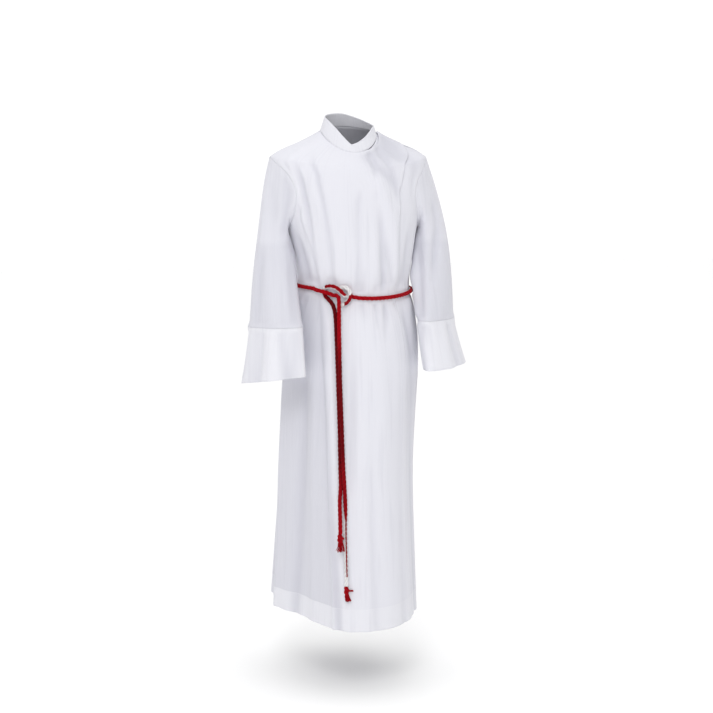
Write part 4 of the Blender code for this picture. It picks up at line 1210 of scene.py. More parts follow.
def sleeve_folds(side: Side) -> tuple[Fold, ...]:
    """The folds of one sleeve and its cuff.

    Args:
        side: which arm it is on.

    Returns:
        Folds in degrees from straight out towards the front. The two arms differ a little.
    """
    if side is Side.RIGHT:
        shown = (
            Fold(-0.0036, 0.0090, ((101, -0.085, 0.0), (105, -0.110, 0.8), (107, -0.160, 1.0),
                (110, -0.200, 0.7), (112, -0.250, 0.0))),
            Fold(-0.0018, 0.0120, ((69, -0.090, 0.0), (75, -0.140, 0.8), (78, -0.171, 1.0),
                (74, -0.228, 0.5), (73, -0.255, 0.0))),
            Fold(-0.0026, 0.0110, ((36, -0.240, 0.0), (30, -0.280, 0.8), (15, -0.344, 1.0),
                (6, -0.410, 0.7), (0, -0.460, 0.6), (-4, -0.545, 0.8))),
            Fold(-0.0032, 0.0120, ((134, -0.260, 0.0), (128, -0.320, 0.9), (124, -0.370, 1.0),
                (122, -0.420, 0.7), (118, -0.545, 0.9))),
            Fold(0.0022, 0.0130, ((60, -0.270, 0.0), (62, -0.350, 0.8), (62, -0.450, 0.8),
                (63, -0.545, 1.2))),
            Fold(-0.0024, 0.0100, ((88, -0.400, 0.0), (94, -0.440, 0.9), (101, -0.475, 1.0),
                (112, -0.545, 1.3))),
            Fold(-0.0020, 0.0100, ((30, -0.400, 0.0), (27, -0.440, 0.9), (24, -0.480, 1.0),
                (16, -0.545, 1.2))),
            # the inner wall swings in under the arm
            Fold(0.0058, 0.0120, ((182, -0.205, 0.0), (182, -0.240, 0.6), (182, -0.280, 1.0),
                (182, -0.320, 0.9), (182, -0.400, 0.0))),
        )
    else:
        shown = (
            Fold(0.0034, 0.0120, ((107, -0.115, 0.0), (104, -0.160, 0.8), (101, -0.208, 1.0),
                (105, -0.275, 1.0), (112, -0.350, 0.6), (118, -0.420, 0.5), (120, -0.545, 0.8))),
            Fold(-0.0040, 0.0100, ((66, -0.205, 0.0), (69, -0.253, 0.9), (84, -0.290, 1.0),
                (100, -0.330, 0.6), (107, -0.350, 0.0))),
            Fold(-0.0034, 0.0100, ((143, -0.240, 0.0), (141, -0.290, 1.0), (139, -0.340, 1.0),
                (141, -0.415, 0.7), (142, -0.480, 0.0))),
            Fold(-0.0024, 0.0120, ((75, -0.135, 0.0), (66, -0.180, 1.0), (57, -0.220, 1.0),
                (53, -0.270, 0.0))),
            Fold(-0.0022, 0.0100, ((126, -0.400, 0.0), (125, -0.440, 0.9), (122, -0.480, 1.0),
                (118, -0.545, 1.3))),
            Fold(-0.0024, 0.0110, ((24, -0.395, 0.0), (23, -0.424, 0.9), (10, -0.486, 1.0),
                (2, -0.545, 1.2))),
            Fold(0.0020, 0.0130, ((70, -0.350, 0.0), (74, -0.410, 0.8), (78, -0.470, 0.9),
                (80, -0.545, 1.2))),
            # the inner wall swings in against the side of the body
            Fold(0.0098, 0.0150, ((164, -0.200, 0.0), (164, -0.250, 0.35), (164, -0.285, 0.65),
                (164, -0.320, 1.0), (164, -0.345, 0.9), (164, -0.385, 0.55), (163, -0.450, 0.32),
                (162, -0.545, 0.3)), 1.2),
        )
    return shown + (
        # behind: from the armpit, round the elbow, and down to the cuff's edge
        Fold(-0.0036, 0.0100, ((-118, -0.160, 0.0), (-110, -0.210, 1.0), (-102, -0.280, 0.7),
            (-98, -0.350, 0.0))),
        Fold(-0.0026, 0.0080, ((-60, -0.330, 0.0), (-96, -0.318, 1.0), (-134, -0.300, 0.0))),
        Fold(-0.0022, 0.0070, ((150, -0.352, 0.0), (176, -0.338, 1.0), (202, -0.320, 0.0))),
        Fold(-0.0030, 0.0130, ((-34, -0.240, 0.0), (-36, -0.340, 0.8), (-38, -0.450, 0.8),
            (-40, -0.545, 1.2))),
        Fold(0.0026, 0.0140, ((-72, -0.300, 0.0), (-74, -0.400, 0.8), (-76, -0.545, 1.2))),
        Fold(-0.0026, 0.0120, ((152, -0.300, 0.0), (154, -0.420, 0.8), (156, -0.545, 1.2))),
        Fold(0.0024, 0.0120, ((-150, -0.330, 0.0), (-152, -0.440, 0.8), (-153, -0.545, 1.1))),
    )


# ------------------------------------------------------------------ the cord
def smooth_route(points: tuple[Place, ...], step: float) -> list[Vector]:
    """A smooth curve through the points.

    Args:
        points: places on the middle line.
        step: metres between the new points, at most.

    Returns:
        The curve's points, with the first and last given point at its ends.
    """
    given = [Vector(point) for point in points]
    route = [given[0]]
    for first in range(len(given) - 1):
        start, end = given[first], given[first + 1]
        before = given[max(first - 1, 0)]
        after = given[min(first + 2, len(given) - 1)]
        leave, reach = (end - before) / 2, (after - start) / 2
        steps = max(1, math.ceil((end - start).length / step))
        for number in range(1, steps + 1):
            share = number / steps
            square, cube = share * share, share ** 3
            route.append(start * (2 * cube - 3 * square + 1)
                         + leave * (cube - 2 * square + share)
                         + end * (3 * square - 2 * cube) + reach * (cube - square))
    return route


@dataclass(frozen=True)
class Dye:
    """Where the red face of the cord looks, at one place along a stretch.

    Attributes:
        share: the place, from 0 at the stretch's first point to 1 at its last.
        turn: degrees from straight out of the body, towards the way (along x outward).
        cover: how much of the way round is red: 0 is half, and -1 all of it.
        tracer: strength of a thin red line in the white face, from 0 to 1.
        shadow_share: how much darker it is painted, as shade where the stretch hangs in shadow,
            from 0 to 1.
    """

    share: float
    turn: float
    cover: float
    tracer: float = 0.0
    shadow_share: float = 0.0


# The cord that is wound up at its ends is red all round:
ALL_RED = (Dye(0.0, 0.0, -1.2), Dye(1.0, 0.0, -1.2))


@dataclass
class CordStretch:
    """One stretch of the three-strand cord between two places on its route.

    Attributes:
        name: the new piece's name.
        node: the solid that it replaces.
        points: the middle line.
        diameter: metres across the laid-up cord.
        start: metres of cord before this stretch, which sets where its strands are.
        dyes: where the red face looks along it.
    """

    name: str
    node: str
    points: tuple[Place, ...]
    diameter: float
    start: float
    dyes: tuple[Dye, ...]
    pitch: float = 0.030            # metres for one full turn of the strands
    strands: int = 3
    strand_share: float = 0.60      # a strand's radius as a share of the cord's
    step: float = 0.0024
    sides: int = 2                  # the curve's bevel resolution: eight sides
    tracer_turn: float = -22.0      # degrees: where the thin red line lies
    tracer_width: float = 0.935     # cosine of half the angle that it takes up
    tracer_edge: float = 8.0        # how much sharper its edge is than the dyed face's
    groove_shade: float = 0.80      # painted shade where the strands meet: how dark, from 0 to 1

    @property
    def strand_radius(self) -> float:
        """The radius of one strand: they are pressed together, so the cord is nearly round."""
        return self.diameter / 2 * self.strand_share

    def ways(self, route: list[Vector]) -> tuple[list[Vector], list[Vector]]:
        """Find two level ways across the cord all along it.

        Args:
            route: the middle line.

        Returns:
            For each point, the way out of the body and the way sideways.
        """
        axis = BodyAxis()
        outs, sides = [], []
        for number, place in enumerate(route):
            along = (route[min(number + 1, len(route) - 1)] - route[max(number - 1, 0)])
            along.normalize()
            out = place - axis.at(place.z)
            out.z = 0.0
            out = (out - along * out.dot(along)).normalized()
            outs.append(out)
            sides.append(along.cross(out).normalized())
        return outs, sides

    def mesh(self) -> bpy.types.Mesh:
        """Lay up the strands round the middle line.

        Returns:
            A mesh with the "unrolled" UV map, the "red" attribute and the attribute of painted
            shade.
        """
        route = smooth_route(self.points, self.step)
        outs, sides = self.ways(route)
        lengths = [0.0]
        for before, after in zip(route, route[1:]):
            lengths.append(lengths[-1] + (after - before).length)
        lay_radius = self.diameter / 2 - self.strand_radius
        centres = []
        curve = strand_curve(self.name, self.strand_radius, self.sides)
        for strand in range(self.strands):
            line = []
            for place, out, side, length in zip(route, outs, sides, lengths):
                turn = 2 * math.pi * ((self.start + length) / self.pitch + strand / self.strands)
                line.append(place + (out * math.cos(turn) + side * math.sin(turn)) * lay_radius)
            spline = curve.splines.new("POLY")
            spline.points.add(len(line) - 1)
            for point, place in zip(spline.points, line):
                point.co = (*place, 1.0)
            centres += line
        mesh = as_it_shows(self.name, curve)
        self.mark(mesh, route, outs, sides, lengths, centres)
        return mesh

    def mark(self, mesh: bpy.types.Mesh, route: list[Vector], outs: list[Vector],
             sides: list[Vector], lengths: list[float], centres: list[Vector]) -> None:
        """Store what the finish reads: the place on each strand, the dye and the painted shade.

        Args:
            mesh: the strands.
            route: the middle line.
            outs: for each point of the route, the way out of the body.
            sides: for each point of the route, the way sideways.
            lengths: for each point of the route, metres along it.
            centres: the points of the strands' own middle lines.
        """
        tree = search_tree(centres)
        shares, turns, covers, tracers, shadow_shares = zip(*(
            (dye.share, math.radians(dye.turn), dye.cover, dye.tracer, dye.shadow_share)
            for dye in self.dyes))
        turns = np.unwrap(turns)
        red, groove, along, around = [], [], [], []
        for vertex in mesh.vertices:
            number = tree.find(vertex.co)[1]
            place = number % len(route)
            offset = vertex.co - route[place]
            from_strand = vertex.co - centres[number]
            out, side = outs[place], sides[place]
            reach = offset.length / (self.diameter / 2)
            share = lengths[place] / lengths[-1]
            angle = math.atan2(offset.dot(side), offset.dot(out))
            turn, cover, tracer, shadow_share = (float(np.interp(share, shares, values))
                                         for values in (turns, covers, tracers, shadow_shares))
            tone = math.cos(angle - turn) - cover
            if tracer > 0.5:
                line = math.cos(angle - math.radians(self.tracer_turn)) - self.tracer_width
                tone = max(tone, line * self.tracer_edge)
            red.append(tone)
            # painted shade: darker towards the cord's middle, where the strands meet, and along
            # stretches in shadow
            between = self.groove_shade * float(ramp(-reach, -0.90, 0.30))
            groove.append(1 - (1 - between) * (1 - shadow_share))
            along.append(lengths[place])
            around.append(math.atan2(from_strand.dot(side), from_strand.dot(out))
                          / (2 * math.pi))
        write_attribute(mesh, "red", np.array(red))
        write_attribute(mesh, "groove", np.array(groove))
        while mesh.uv_layers:
            mesh.uv_layers.remove(mesh.uv_layers[0])
        write_unrolled(mesh, np.array(along), np.array(around), 1.0, 1)

    def build(self, finish: bpy.types.Material) -> bpy.types.Object:
        """Make the finished stretch.

        Args:
            finish: the cord's material.

        Returns:
            The piece, on its body, in place of its solid.
        """
        piece = joined(self.name, [self.mesh()])
        finish_piece(piece, finish, (self.node,))
        return piece

    @property
    def length(self) -> float:
        """The length of the middle line, in metres."""
        route = smooth_route(self.points, self.step)
        return sum((after - before).length for before, after in zip(route, route[1:]))


@dataclass
class EndKnot:
    """The knot at one end of the cord, with the unlaid yarns that hang below it.

    Attributes:
        node: the solid that it replaces.
        top: where the cord enters it.
        down: the way it hangs.
        length: metres from its top to the yarns.
        width: metres across the wound cord.
        tuft: metres of loose yarn below.
        spread: metres across the tuft at its lower end.
        turns: how often the cord goes round itself.
        stub: whether a short end of the cord sticks out to the wearer's left.
        lean: metres that the tuft hangs to the wearer's right, or where negative to the left.
        seed: which set of waves its yarns have.
    """

    node: str
    top: Place
    down: Place
    length: float
    width: float
    tuft: float
    spread: float
    turns: float = 1.6
    stub: bool = False
    lean: float = 0.0
    seed: int = 5
    steps: int = 40                 # places on the wound cord's middle line
    cord_diameter: float = 0.0058   # metres, where it is pulled tight
    stub_diameter: float = 0.0042
    yarns: int = 54
    yarn_radius: float = 0.00055
    yarn_steps: int = 6             # straight parts of each yarn
    yarn_wave: float = 0.0008       # metres that it strays
    flatness: float = 0.72          # the tuft's depth as a share of its width

    def build(self, finish: bpy.types.Material) -> bpy.types.Object:
        """Wind the knot, hang the yarns and join them.

        Args:
            finish: the cord's material.

        Returns:
            The piece, on its body, in place of its solid.
        """
        parts = [self.wound().mesh(), self.head(), self.tuft_mesh()]
        if self.stub:
            parts.append(self.stub_stretch().mesh())
        piece = joined(self.node + "_tied", parts)
        finish_piece(piece, finish, (self.node,))
        return piece

    def ways(self) -> tuple[Vector, Vector, Vector]:
        """Find the knot's own directions.

        Returns:
            The way down, the way across and the way out of the body.
        """
        down = Vector(self.down).normalized()
        across = down.cross(Vector((0, -1, 0))).normalized()
        return down, across, across.cross(down).normalized()

    def wound(self) -> CordStretch:
        """Plan the cord that goes round itself and is pulled tight.

        Returns:
            The stretch, from the knot's top to its lower end.
        """
        down, across, out = self.ways()
        places = []
        for number in range(self.steps + 1):
            share = number / self.steps
            turn = 2 * math.pi * (self.turns * share - 0.25)
            swell = math.sin(math.pi * min(max((share - 0.02) / 0.96, 0.0), 1.0)) ** 0.35
            radius = (self.width / 2 - self.cord_diameter / 2) * swell
            drop = self.length * (0.12 + 0.76 * share) + 0.0018 * math.sin(turn)
            place = (Vector(self.top) + down * drop + across * (radius * math.cos(turn))
                     + out * (radius * 0.78 * math.sin(turn)))
            places.append(tuple(place))
        return CordStretch(self.node + "_wound", self.node, tuple(places), self.cord_diameter,
                           0.0, ALL_RED, 0.020)

    def stub_stretch(self) -> CordStretch:
        """Plan the short end that sticks out of the knot on the wearer's left.

        Returns:
            The stretch, from inside the knot to its tip.
        """
        down, across, _ = self.ways()
        start = Vector(self.top) + down * (self.length * 0.55) - across * 0.001
        places = tuple(tuple(start + (Vector((1, 0, 0)) * reach + down * (0.04 * reach)))
                       for reach in (0.0, 0.004, 0.008, 0.0115, 0.0135))
        return CordStretch(self.node + "_stub", self.node, places, self.stub_diameter, 0.0,
                           ALL_RED, 0.016)

    def head(self) -> bpy.types.Mesh:
        """Make the firm middle of the knot, which the yarns leave.

        Returns:
            A ball of red yarn, longest downward.
        """
        down, across, out = self.ways()
        bm = bmesh.new()
        bmesh.ops.create_uvsphere(bm, u_segments=16, v_segments=10, radius=1.0)
        turn = Matrix((across, out, down)).transposed().to_4x4()
        size = Matrix.Diagonal((self.width * 0.34, self.width * 0.27, self.length * 0.56, 1.0))
        middle = Vector(self.top) + down * (self.length * 0.54)
        bmesh.ops.transform(bm, matrix=Matrix.Translation(middle) @ turn @ size, verts=bm.verts)
        bmesh.ops.recalc_face_normals(bm, faces=bm.faces)
        # painted shade: the knot's middle is painted a little darker
        return self.marked(bm, 0.35)

    def marked(self, bm: bmesh.types.BMesh, groove: float) -> bpy.types.Mesh:
        """Turn a bmesh into red yarn with a simple unrolled place.

        Args:
            bm: a part of the knot, which is used up.
            groove: how much darker it is painted, as shade, from 0 to 1.

        Returns:
            The mesh.
        """
        mesh = made_of(bm, self.node + "_part")
        points = read_points(mesh)
        write_attribute(mesh, "red", np.ones(len(points)))
        write_attribute(mesh, "groove", np.full(len(points), groove))
        around = np.arctan2(points[:, 1] - self.top[1], points[:, 0] - self.top[0])
        write_unrolled(mesh, points[:, 2], around / (2 * math.pi), 1.0, 1)
        return mesh

    def tuft_mesh(self) -> bpy.types.Mesh:
        """Make the unlaid yarns, each a thin wavy rod that leaves the head.

        Returns:
            All of them in one mesh.
        """
        down, across, out = self.ways()
        chance = random.Random(self.seed)
        curve = strand_curve(self.node + "_tuft", self.yarn_radius, 0)
        neck = Vector(self.top) + down * (self.length * 0.80)
        neck_radius = self.width * 0.22
        for number in range(self.yarns):
            turn = GOLDEN_TURN * number
            ring = math.sqrt((number + 0.5) / self.yarns)
            way = across * math.cos(turn) + out * (self.flatness * math.sin(turn))
            reach = self.tuft * chance.uniform(0.82, 1.04) + self.length * 0.20
            waver = chance.uniform(0, 2 * math.pi)
            spline = curve.splines.new("POLY")
            spline.points.add(self.yarn_steps)
            for step, point in enumerate(spline.points):
                share = step / self.yarn_steps
                open_up = ring * (neck_radius + (self.spread / 2 - neck_radius) * share ** 0.8)
                wave = self.yarn_wave * math.sin(waver + 7 * share) * share
                place = (neck + down * (reach * share) + way * (open_up + wave)
                         + across * (self.lean * share * share + wave))
                point.co = (*place, 1.0)
                point.radius = 1.0 - 0.25 * share
        mesh = as_it_shows(self.node + "_tuft", curve)
        while mesh.uv_layers:
            mesh.uv_layers.remove(mesh.uv_layers[0])
        bm = bmesh.new()
        bm.from_mesh(mesh)
        bpy.data.meshes.remove(mesh)
        # painted shade: the loose yarns slightly darker
        return self.marked(bm, 0.15)


# ------------------------------------------------------------------ stitching
@dataclass
class Stitching:
    """Rows of small machine stitches that lie on the finished cloth.

    Attributes:
        name: the new piece's name.
        slot: the name of a slot in the record; not used.
        stitches: for each stitch its middle, the way along it and the way out of the cloth.
    """

    name: str
    slot: str
    stitch: float = 0.0027          # metres long
    gap: float = 0.0009
    thickness: float = 0.00034      # half of it: thicker than real thread, so that it shows
    proud: float = 0.25             # how far its middle stands off, as a share of that half
    search: float = 0.6             # metres within which a ray has to meet the cloth
    longest_step: float = 0.02      # metres: where the cloth jumps further, the row is broken
    stitches: list[tuple[Vector, Vector, Vector]] = field(default_factory=list)

    def row(self, tree: BVHTree, rays: list[tuple[Vector, Vector]], closed: bool) -> None:
        """Find the cloth along a line and divide it into stitches.

        Args:
            tree: the finished cloth.
            rays: for places along the line, a start outside the cloth and the way in.
            closed: whether the line comes back to its start.
        """
        found = []
        for start, way in rays:
            place, normal, _, _ = tree.ray_cast(start, way, self.search)
            if place is not None:
                found.append((place, normal if normal.dot(way) < 0 else -normal))
        if closed and found:
            found.append(found[0])
        carried = 0.0
        pitch = self.stitch + self.gap
        for (start, normal_a), (end, normal_b) in zip(found, found[1:]):
            length = (end - start).length
            if length > self.longest_step:
                carried = 0.0
                continue
            place = pitch - carried
            while place < length:
                share = place / length
                self.stitches.append((start.lerp(end, share), (end - start).normalized(),
                                      normal_a.lerp(normal_b, share).normalized()))
                place += pitch
            carried = length - (place - pitch)

    def build(self, finish: bpy.types.Material) -> bpy.types.Object:
        """Make all the stitches as one piece.

        Args:
            finish: the thread's material.

        Returns:
            The piece, on its body.
        """
        bm = bmesh.new()
        for place, along, normal in self.stitches:
            side = along.cross(normal).normalized()
            turn = Matrix((along, side, normal)).transposed().to_4x4()
            size = Matrix.Diagonal((self.stitch / 2, self.thickness, self.thickness, 1.0))
            spot = Matrix.Translation(place + normal * (self.thickness * self.proud))
            bmesh.ops.create_uvsphere(bm, u_segments=6, v_segments=4, radius=1.0,
                                      matrix=spot @ turn @ size @ Matrix.Rotation(
                                          math.pi / 2, 4, "Y"))
        bmesh.ops.recalc_face_normals(bm, faces=bm.faces)
        piece = put_in_scene(self.name, made_of(bm, self.name))
        finish_piece(piece, finish, ())
        return piece


def cloth_tree(pieces: list[bpy.types.Object]) -> BVHTree:
    """Make one search tree of several pieces of cloth.

    Args:
        pieces: solids, or finished pieces.

    Returns:
        The tree of all their faces.
    """
    points, faces = [], []
    for piece in pieces:
        start = len(points)
        points += [vertex.co.copy() for vertex in piece.data.vertices]
        faces += [[start + corner for corner in face.vertices] for face in piece.data.polygons]
    return BVHTree.FromPolygons(points, faces)


def rays_round(axis: BodyAxis | SleeveAxis, heights: TurnsAndHeights,
               reach: float) -> list[tuple[Vector, Vector]]:
    """Level rays from outside towards an axis.

    Args:
        axis: what they point at.
        heights: angles in degrees and the height of the ray there.
        reach: metres from the axis to where they start.

    Returns:
        A start and a way for each ray.
    """
    rays = []
    for degrees, height in heights:
        out = axis.level_way(degrees)
        rays.append((axis.at(height) + out * reach, -out))
    return rays


def rim_heights(axis: SleeveAxis, solid: bpy.types.Object, lowest: bool) -> TurnsAndHeights:
    """The height of a cuff's upper or lower rim all round, from its solid.

    Args:
        axis: the sleeve's middle line.
        solid: the CAD node.
        lowest: whether it is the lower rim.

    Returns:
        Angles in degrees, in rising order, and heights.
    """
    degrees, heights, _ = axis.unroll(read_points(solid.data))
    rim = []
    for middle in range(-171, 180, 18):
        near = np.abs(off_centre(degrees, middle)) < 10
        if near.any():
            rim.append((float(middle), float(heights[near].min() if lowest
                                             else heights[near].max())))
    return rim


def along_rim(rim: TurnsAndHeights, inset: float, step: float = 3.0) -> TurnsAndHeights:
    """Places all round beside a rim.

    Args:
        rim: angles and heights.
        inset: metres above it, or below it where negative.
        step: degrees between the places.

    Returns:
        Angles and heights.
    """
    turns = [place[0] for place in rim]
    heights = [place[1] for place in rim]
    count = int(360 / step)
    return [(-180 + number * step,
             float(np.interp(-180 + number * step, turns, heights, period=360)) + inset)
            for number in range(count)]


# ------------------------------------------------------------------ the whole robe
@dataclass
class Alb:
    """The sewn robe: its panels, sleeves, cuffs and collar, and the stitching on them.

    Attributes:
        still: the lines where the cloth keeps its place.
        cloth: the cloth's material.
        thread: the stitching's material.
        pieces: the finished pieces by their solids' names.
    """

    frame: dict
    still: Stillness
    cloth: bpy.types.Material
    thread: bpy.types.Material
    pieces: dict[str, bpy.types.Object] = field(default_factory=dict)
    hem_inset: float = 0.0016       # metres from an edge to the row of stitches beside it
    lap_insets: tuple[float, float] = (0.0030, 0.0200)
    collar_inset: float = 0.0026
    cuff_insets: tuple[float, float] = (-0.0022, 0.0035)
    body_reach: float = 0.45        # metres from the axis to outside all of the cloth there
    collar_reach: float = 0.12
    cuff_reach: float = 0.14

    def build(self) -> None:
        """Make every piece of the robe."""
        body = BodyAxis()
        folds = body_folds()
        pressed_edge = Fold(-0.0028, 0.011, tuple((turn + 0.5, height, 1.0)
                                                  for height, turn in LAP_EDGE))
        plans = [
            ClothPiece("front_wrap", body, folds, (0.64, 1.12), 0.40, seed=3,
                       pressed=pressed_edge),
            ClothPiece("front_under", body, folds, (0.44, 1.12), 0.28, seed=3),
            ClothPiece("back", body, folds, (0.68, 1.13), 0.53, seed=3, behind=True),
            ClothPiece("collar", body, (), (0.44, 0.036), 0.0120, unevenness=0.0002, seed=9,
                       doubled=True, held="stretched",
                       gape=((13.0, 0.0), (20.0, 0.0022), (58.0, 0.0022), (80.0, 0.0))),
        ]
        for side in Side:
            arm = side.name.lower()
            axis = SleeveAxis(side)
            plans.append(ClothPiece("sleeve_" + arm, axis, sleeve_folds(side), (0.36, 0.38),
                                    0.088, levels=3, tube=True, seed=5 + side.value))
            plans.append(ClothPiece("cuff_" + arm, axis, sleeve_folds(side), (0.41, 0.115),
                                    0.042, levels=3, tube=True, seed=5 + side.value,
                                    doubled=True))
        for plan in plans:
            self.pieces[plan.node] = plan.build(self.frame, self.cloth, self.still)

    def sew(self) -> None:
        """Stitch the hem, the lap's edge, the collar and the cuffs."""
        self.sew_hem()
        self.sew_lap()
        self.sew_collar()
        for side in Side:
            self.sew_cuff(side)

    def sew_hem(self) -> None:
        """Run one row all round, just below the upper edge of the doubled hem."""
        hem = Stitching("hem_stitching", "back")
        panels = cloth_tree([self.pieces[name] for name in ("front_wrap", "front_under", "back")])
        places = [(float(turn), float(hem_top(turn)) - self.hem_inset)
                  for turn in range(-180, 180, 2)]
        hem.row(panels, rays_round(BodyAxis(), places, self.body_reach), True)
        hem.build(self.thread)

    def sew_lap(self) -> None:
        """Run two rows down beside the lap's edge, left out where the cord lies."""
        lap = Stitching("lap_stitching", "front_wrap")
        wrap = cloth_tree([self.pieces["front_wrap"]])
        lowest, run, steps = -1.085, 1.010, 200
        for inset in self.lap_insets:
            places = []
            for number in range(steps + 1):
                height = lowest + run * number / steps
                turn = float(np.interp(height, *zip(*LAP_EDGE)))
                radius = float(np.interp(height, (-1.08, -0.75, -0.35, -0.10),
                                         (0.203, 0.170, 0.112, 0.120)))
                if not CORD_BAND[0] < height < CORD_BAND[1]:
                    places.append((turn - math.degrees(inset / radius), height))
            lap.row(wrap, rays_round(BodyAxis(), places, self.body_reach), False)
        lap.build(self.thread)

    def sew_collar(self) -> None:
        """Run one row along the collar, from the lap round to its inner end."""
        band = Stitching("collar_stitching", "collar")
        collar = cloth_tree([self.pieces["collar"]])
        band.row(collar, rays_round(BodyAxis(), self.collar_places(), self.collar_reach), False)
        band.build(self.thread)

    def sew_cuff(self, side: Side) -> None:
        """Run a row just below a cuff's upper rim and one above its lower rim.

        Args:
            side: which arm it is on.
        """
        node = "cuff_" + side.name.lower()
        axis = SleeveAxis(side)
        solid = self.frame["nodes"][node]
        cuff = Stitching("cuff_stitching_" + side.name.lower(), node)
        tree = cloth_tree([self.pieces[node]])
        for lowest, inset in zip((False, True), self.cuff_insets):
            places = along_rim(rim_heights(axis, solid, lowest), inset)
            cuff.row(tree, rays_round(axis, places, self.cuff_reach), True)
        cuff.build(self.thread)

    def collar_places(self) -> TurnsAndHeights:
        """Find places just below the collar's upper edge.

        Returns:
            Angles and heights.
        """
        solid = self.frame["nodes"]["collar"]
        degrees, heights, _ = BodyAxis().unroll(read_points(solid.data))
        places = []
        for turn in range(0, 360, 4):
            near = np.abs(off_centre(degrees, turn)) < 4
            if near.any():
                places.append((float(turn), float(heights[near].max()) - self.collar_inset))
        return places


@dataclass
class Cincture:
    """The cord: round the waist, through its keeper, and down to the two knotted ends."""

    material: bpy.types.Material
    declared: float = 0.0075        # metres across when measured under a light pull
    laid_up: float = 0.0095         # metres across its strands' crests, with their fuzz

    def build(self) -> None:
        red, hidden = -0.75, 0.35
        # the last number of a Dye is painted shade: the short end hangs in the long end's shadow,
        # and the long end and the keeper are painted darker in places
        short = CordStretch(
            "cord_short_end", "cincture_tail_short", tuple(reversed(CINCTURE_TAIL_SHORT)),
            self.laid_up, 0.0, (
                Dye(0.0, 0.0, red), Dye(0.15, 0.0, red, 0.0, 0.35), Dye(0.25, 0.0, red, 0.0, 0.80),
                Dye(0.52, 0.0, red, 0.0, 0.75), Dye(0.64, 0.0, red, 0.0, 0.90),
                Dye(0.785, 0.0, red, 0.0, 0.85), Dye(0.826, 0.0, -0.5, 0.0, 0.5),
                Dye(0.835, -180.0, hidden), Dye(0.852, -180.0, hidden),
                Dye(0.858, -70.0, -0.30, 0.0, 0.45), Dye(0.925, -65.0, -0.30, 0.0, 0.15),
                Dye(0.938, -90.0, 0.15), Dye(0.944, -180.0, hidden),
                Dye(0.958, -180.0, hidden), Dye(0.964, 0.0, -0.5), Dye(1.0, 0.0, -0.6)))
        waist = CordStretch(
            "cord_round_waist", "cincture_waist", CINCTURE_WAIST, self.laid_up, short.length,
            (Dye(0.0, 0.0, -0.6), Dye(1.0, 0.0, -0.6)))
        long = CordStretch(
            "cord_long_end", "cincture_tail_long", CINCTURE_TAIL_LONG, self.laid_up,
            short.length + waist.length, (
                Dye(0.0, 0.0, -0.6), Dye(0.10, 5.0, -0.6), Dye(0.14, 10.0, -0.60),
                Dye(0.22, 10.0, -0.60), Dye(0.32, 10.0, -0.60, 0.0, 0.75),
                Dye(0.58, 10.0, -0.60, 0.0, 0.80), Dye(0.66, 12.0, -0.50, 0.0, 0.40),
                Dye(0.735, -5.0, -0.30, 0.0, 0.35), Dye(0.765, -18.0, 0.30, 1.0, 0.35),
                Dye(0.80, -22.0, 0.94, 1.0, 0.45), Dye(0.97, -22.0, 1.20, 1.0, 0.45),
                Dye(0.974, -22.0, 1.20), Dye(1.0, -22.0, 1.20)))
        keeper = CordStretch(
            "cord_keeper", "cincture_keeper", CINCTURE_KEEPER, self.laid_up, 0.0,
            (Dye(0.0, -180.0, hidden), Dye(0.46, -180.0, hidden), Dye(0.52, -70.0, -0.35, 0.0, 0.2),
             Dye(0.80, -70.0, -0.40, 0.0, 0.4), Dye(0.84, -180.0, hidden),
             Dye(1.0, -180.0, hidden)))
        short_knot = EndKnot("end_knot_short", CINCTURE_TAIL_SHORT[-1],
                             self.hang(CINCTURE_TAIL_SHORT), 0.0180, 0.0170, 0.0205, 0.0200)
        long_knot = EndKnot("end_knot_long", CINCTURE_TAIL_LONG[-1],
                            self.hang(CINCTURE_TAIL_LONG), 0.0190, 0.0140, 0.0150, 0.0135,
                            stub=True, lean=-0.003, seed=8)
        waist.build(self.material)
        keeper.build(self.material)
        for stretch, knot, exit_point, route in (
                (short, short_knot, CINCTURE_TAIL_SHORT[0], CINCTURE_TAIL_SHORT),
                (long, long_knot, CINCTURE_TAIL_LONG[0], CINCTURE_TAIL_LONG)):
            end = knot.build(self.material)
            piece = stretch.build(self.material)
            stretch.length
            [tuple(point) for point in smooth_route(route, 0.01)]

    def hang(self, route: tuple[Place, ...]) -> Place:
        """The way a cord's end hangs."""
        return tuple(Vector(route[-1]) - Vector(route[-2]))


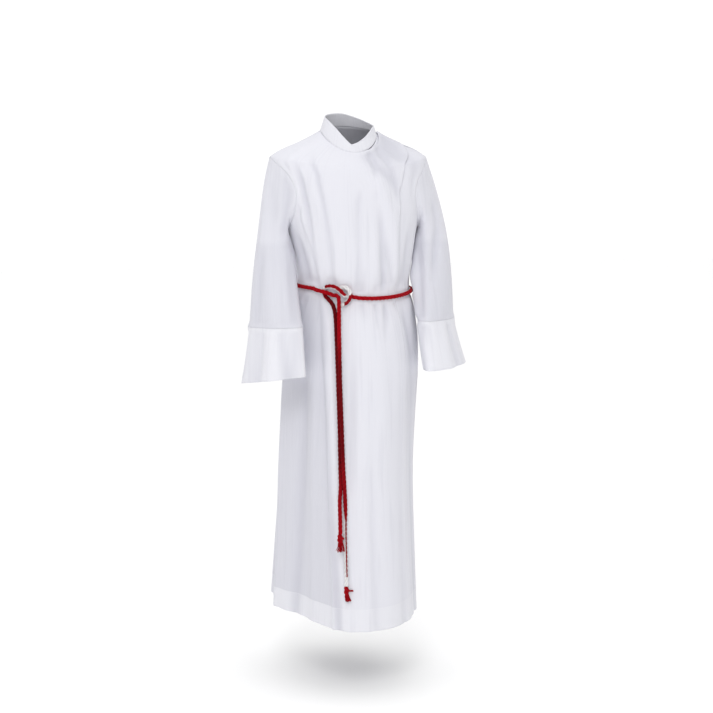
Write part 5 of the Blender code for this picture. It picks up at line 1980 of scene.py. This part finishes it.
@dataclass
class Studio:
    """The camera, the floor and the soft light, which aren't part of the robe."""

    turn: float = -15.0             # degrees round from the front, to the wearer's right
    pitch: float = 7.28             # degrees down
    distance: float = 4.0
    aside: float = 0.019
    height: float = 0.006
    lens: float = 90.28
    floor_height: float = -1.239
    floor_size: float = 12.0
    floor_roughness: float = 0.9
    room: float = 0.39              # strength of the light from the sides
    ceiling: float = 1.24           # from above
    wall: float = 1.06              # and from the wall behind
    lamp_place: Place = (-1.25, -3.3, 1.9)
    lamp_aim: Place = (0.0, 0.0, -0.45)
    lamp_size: float = 1.4
    lamp_power: float = 46.0

    def aim(self) -> None:
        """Place the camera."""
        turned = math.radians(self.turn)
        back = Vector((math.sin(turned), -math.cos(turned), 0.0))
        right = Vector((math.cos(turned), math.sin(turned), 0.0))
        place = back * self.distance + right * self.aside + Vector((0, 0, self.height))
        down = math.radians(self.pitch)
        forward = -back * math.cos(down) - Vector((0, 0, math.sin(down)))
        up = -back * math.sin(down) + Vector((0, 0, math.cos(down)))
        data = bpy.data.cameras.new("studio_camera")
        data.lens = self.lens
        data.sensor_width = 36.0
        camera = put_in_scene("studio_camera", data)
        camera.matrix_world = Matrix.Translation(place) @ Matrix(
            (right, up, -forward)).transposed().to_4x4()
        bpy.context.scene.camera = camera

    def floor(self) -> None:
        """A pale floor under the robe."""
        bm = bmesh.new()
        bmesh.ops.create_grid(bm, x_segments=1, y_segments=1, size=self.floor_size)
        bmesh.ops.translate(bm, vec=(0, 0, self.floor_height), verts=bm.verts)
        floor = put_in_scene("studio_floor", made_of(bm, "studio_floor"))
        paint, _, _ = start_material("matt_white_painted_studio_floor", {
            "Base Color": linear("#FFFFFF"), "Roughness": self.floor_roughness})
        floor.data.materials.append(paint)

    def light(self) -> None:
        """A soft even room with a bright wall behind the robe, and one large soft lamp."""
        world = bpy.data.worlds.new("white_room")
        bpy.context.scene.world = world
        world.use_nodes = True
        tree = world.node_tree
        background = tree.nodes["Background"]
        background.inputs["Color"].default_value = (1.0, 1.0, 1.0, 1.0)
        way = add_node(tree, "ShaderNodeTexCoord").outputs["Generated"]
        apart = add_node(tree, "ShaderNodeSeparateXYZ", None, None, {0: way})
        wall = add_node(tree, "ShaderNodeMapRange", None,
                        {"From Min": 0.70, "From Max": 0.86, "To Max": self.wall},
                        {"Value": apart.outputs[1]})
        ceiling = add_node(tree, "ShaderNodeMapRange", None,
                           {"From Min": 0.15, "From Max": 0.85, "To Min": self.room,
                            "To Max": self.ceiling}, {"Value": apart.outputs[2]})
        both = add_node(tree, "ShaderNodeMath", {"operation": "MAXIMUM"}, None,
                        {0: wall.outputs[0], 1: ceiling.outputs[0]})
        tree.links.new(both.outputs[0], background.inputs["Strength"])
        data = bpy.data.lights.new("key_lamp", "AREA")
        data.shape = "SQUARE"
        data.size = self.lamp_size
        data.energy = self.lamp_power
        lamp = put_in_scene("key_lamp", data)
        beam = Vector(self.lamp_aim) - Vector(self.lamp_place)
        lamp.matrix_world = Matrix.Translation(self.lamp_place) @ beam.to_track_quat(
            "-Z", "Y").to_matrix().to_4x4()


def main() -> None:
    """Build the studio, the cord and the robe."""
    logging.basicConfig(level=logging.INFO, format="%(name)s: %(message)s")
    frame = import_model()
    studio = Studio()
    studio.aim()
    Cincture(CordFinish().material()).build()
    still = Stillness()
    still.hold_seams(frame)
    still.hold_cord((CINCTURE_WAIST, CINCTURE_KEEPER, CINCTURE_TAIL_SHORT, CINCTURE_TAIL_LONG))
    alb = Alb(frame, still, ClothFinish().material(), ThreadFinish().material())
    alb.build()
    alb.sew()
    studio.floor()
    studio.light()
    bpy.context.scene.view_settings.view_transform = "Standard"
    bpy.context.view_layer.update()


if __name__ == "__main__":
    main()
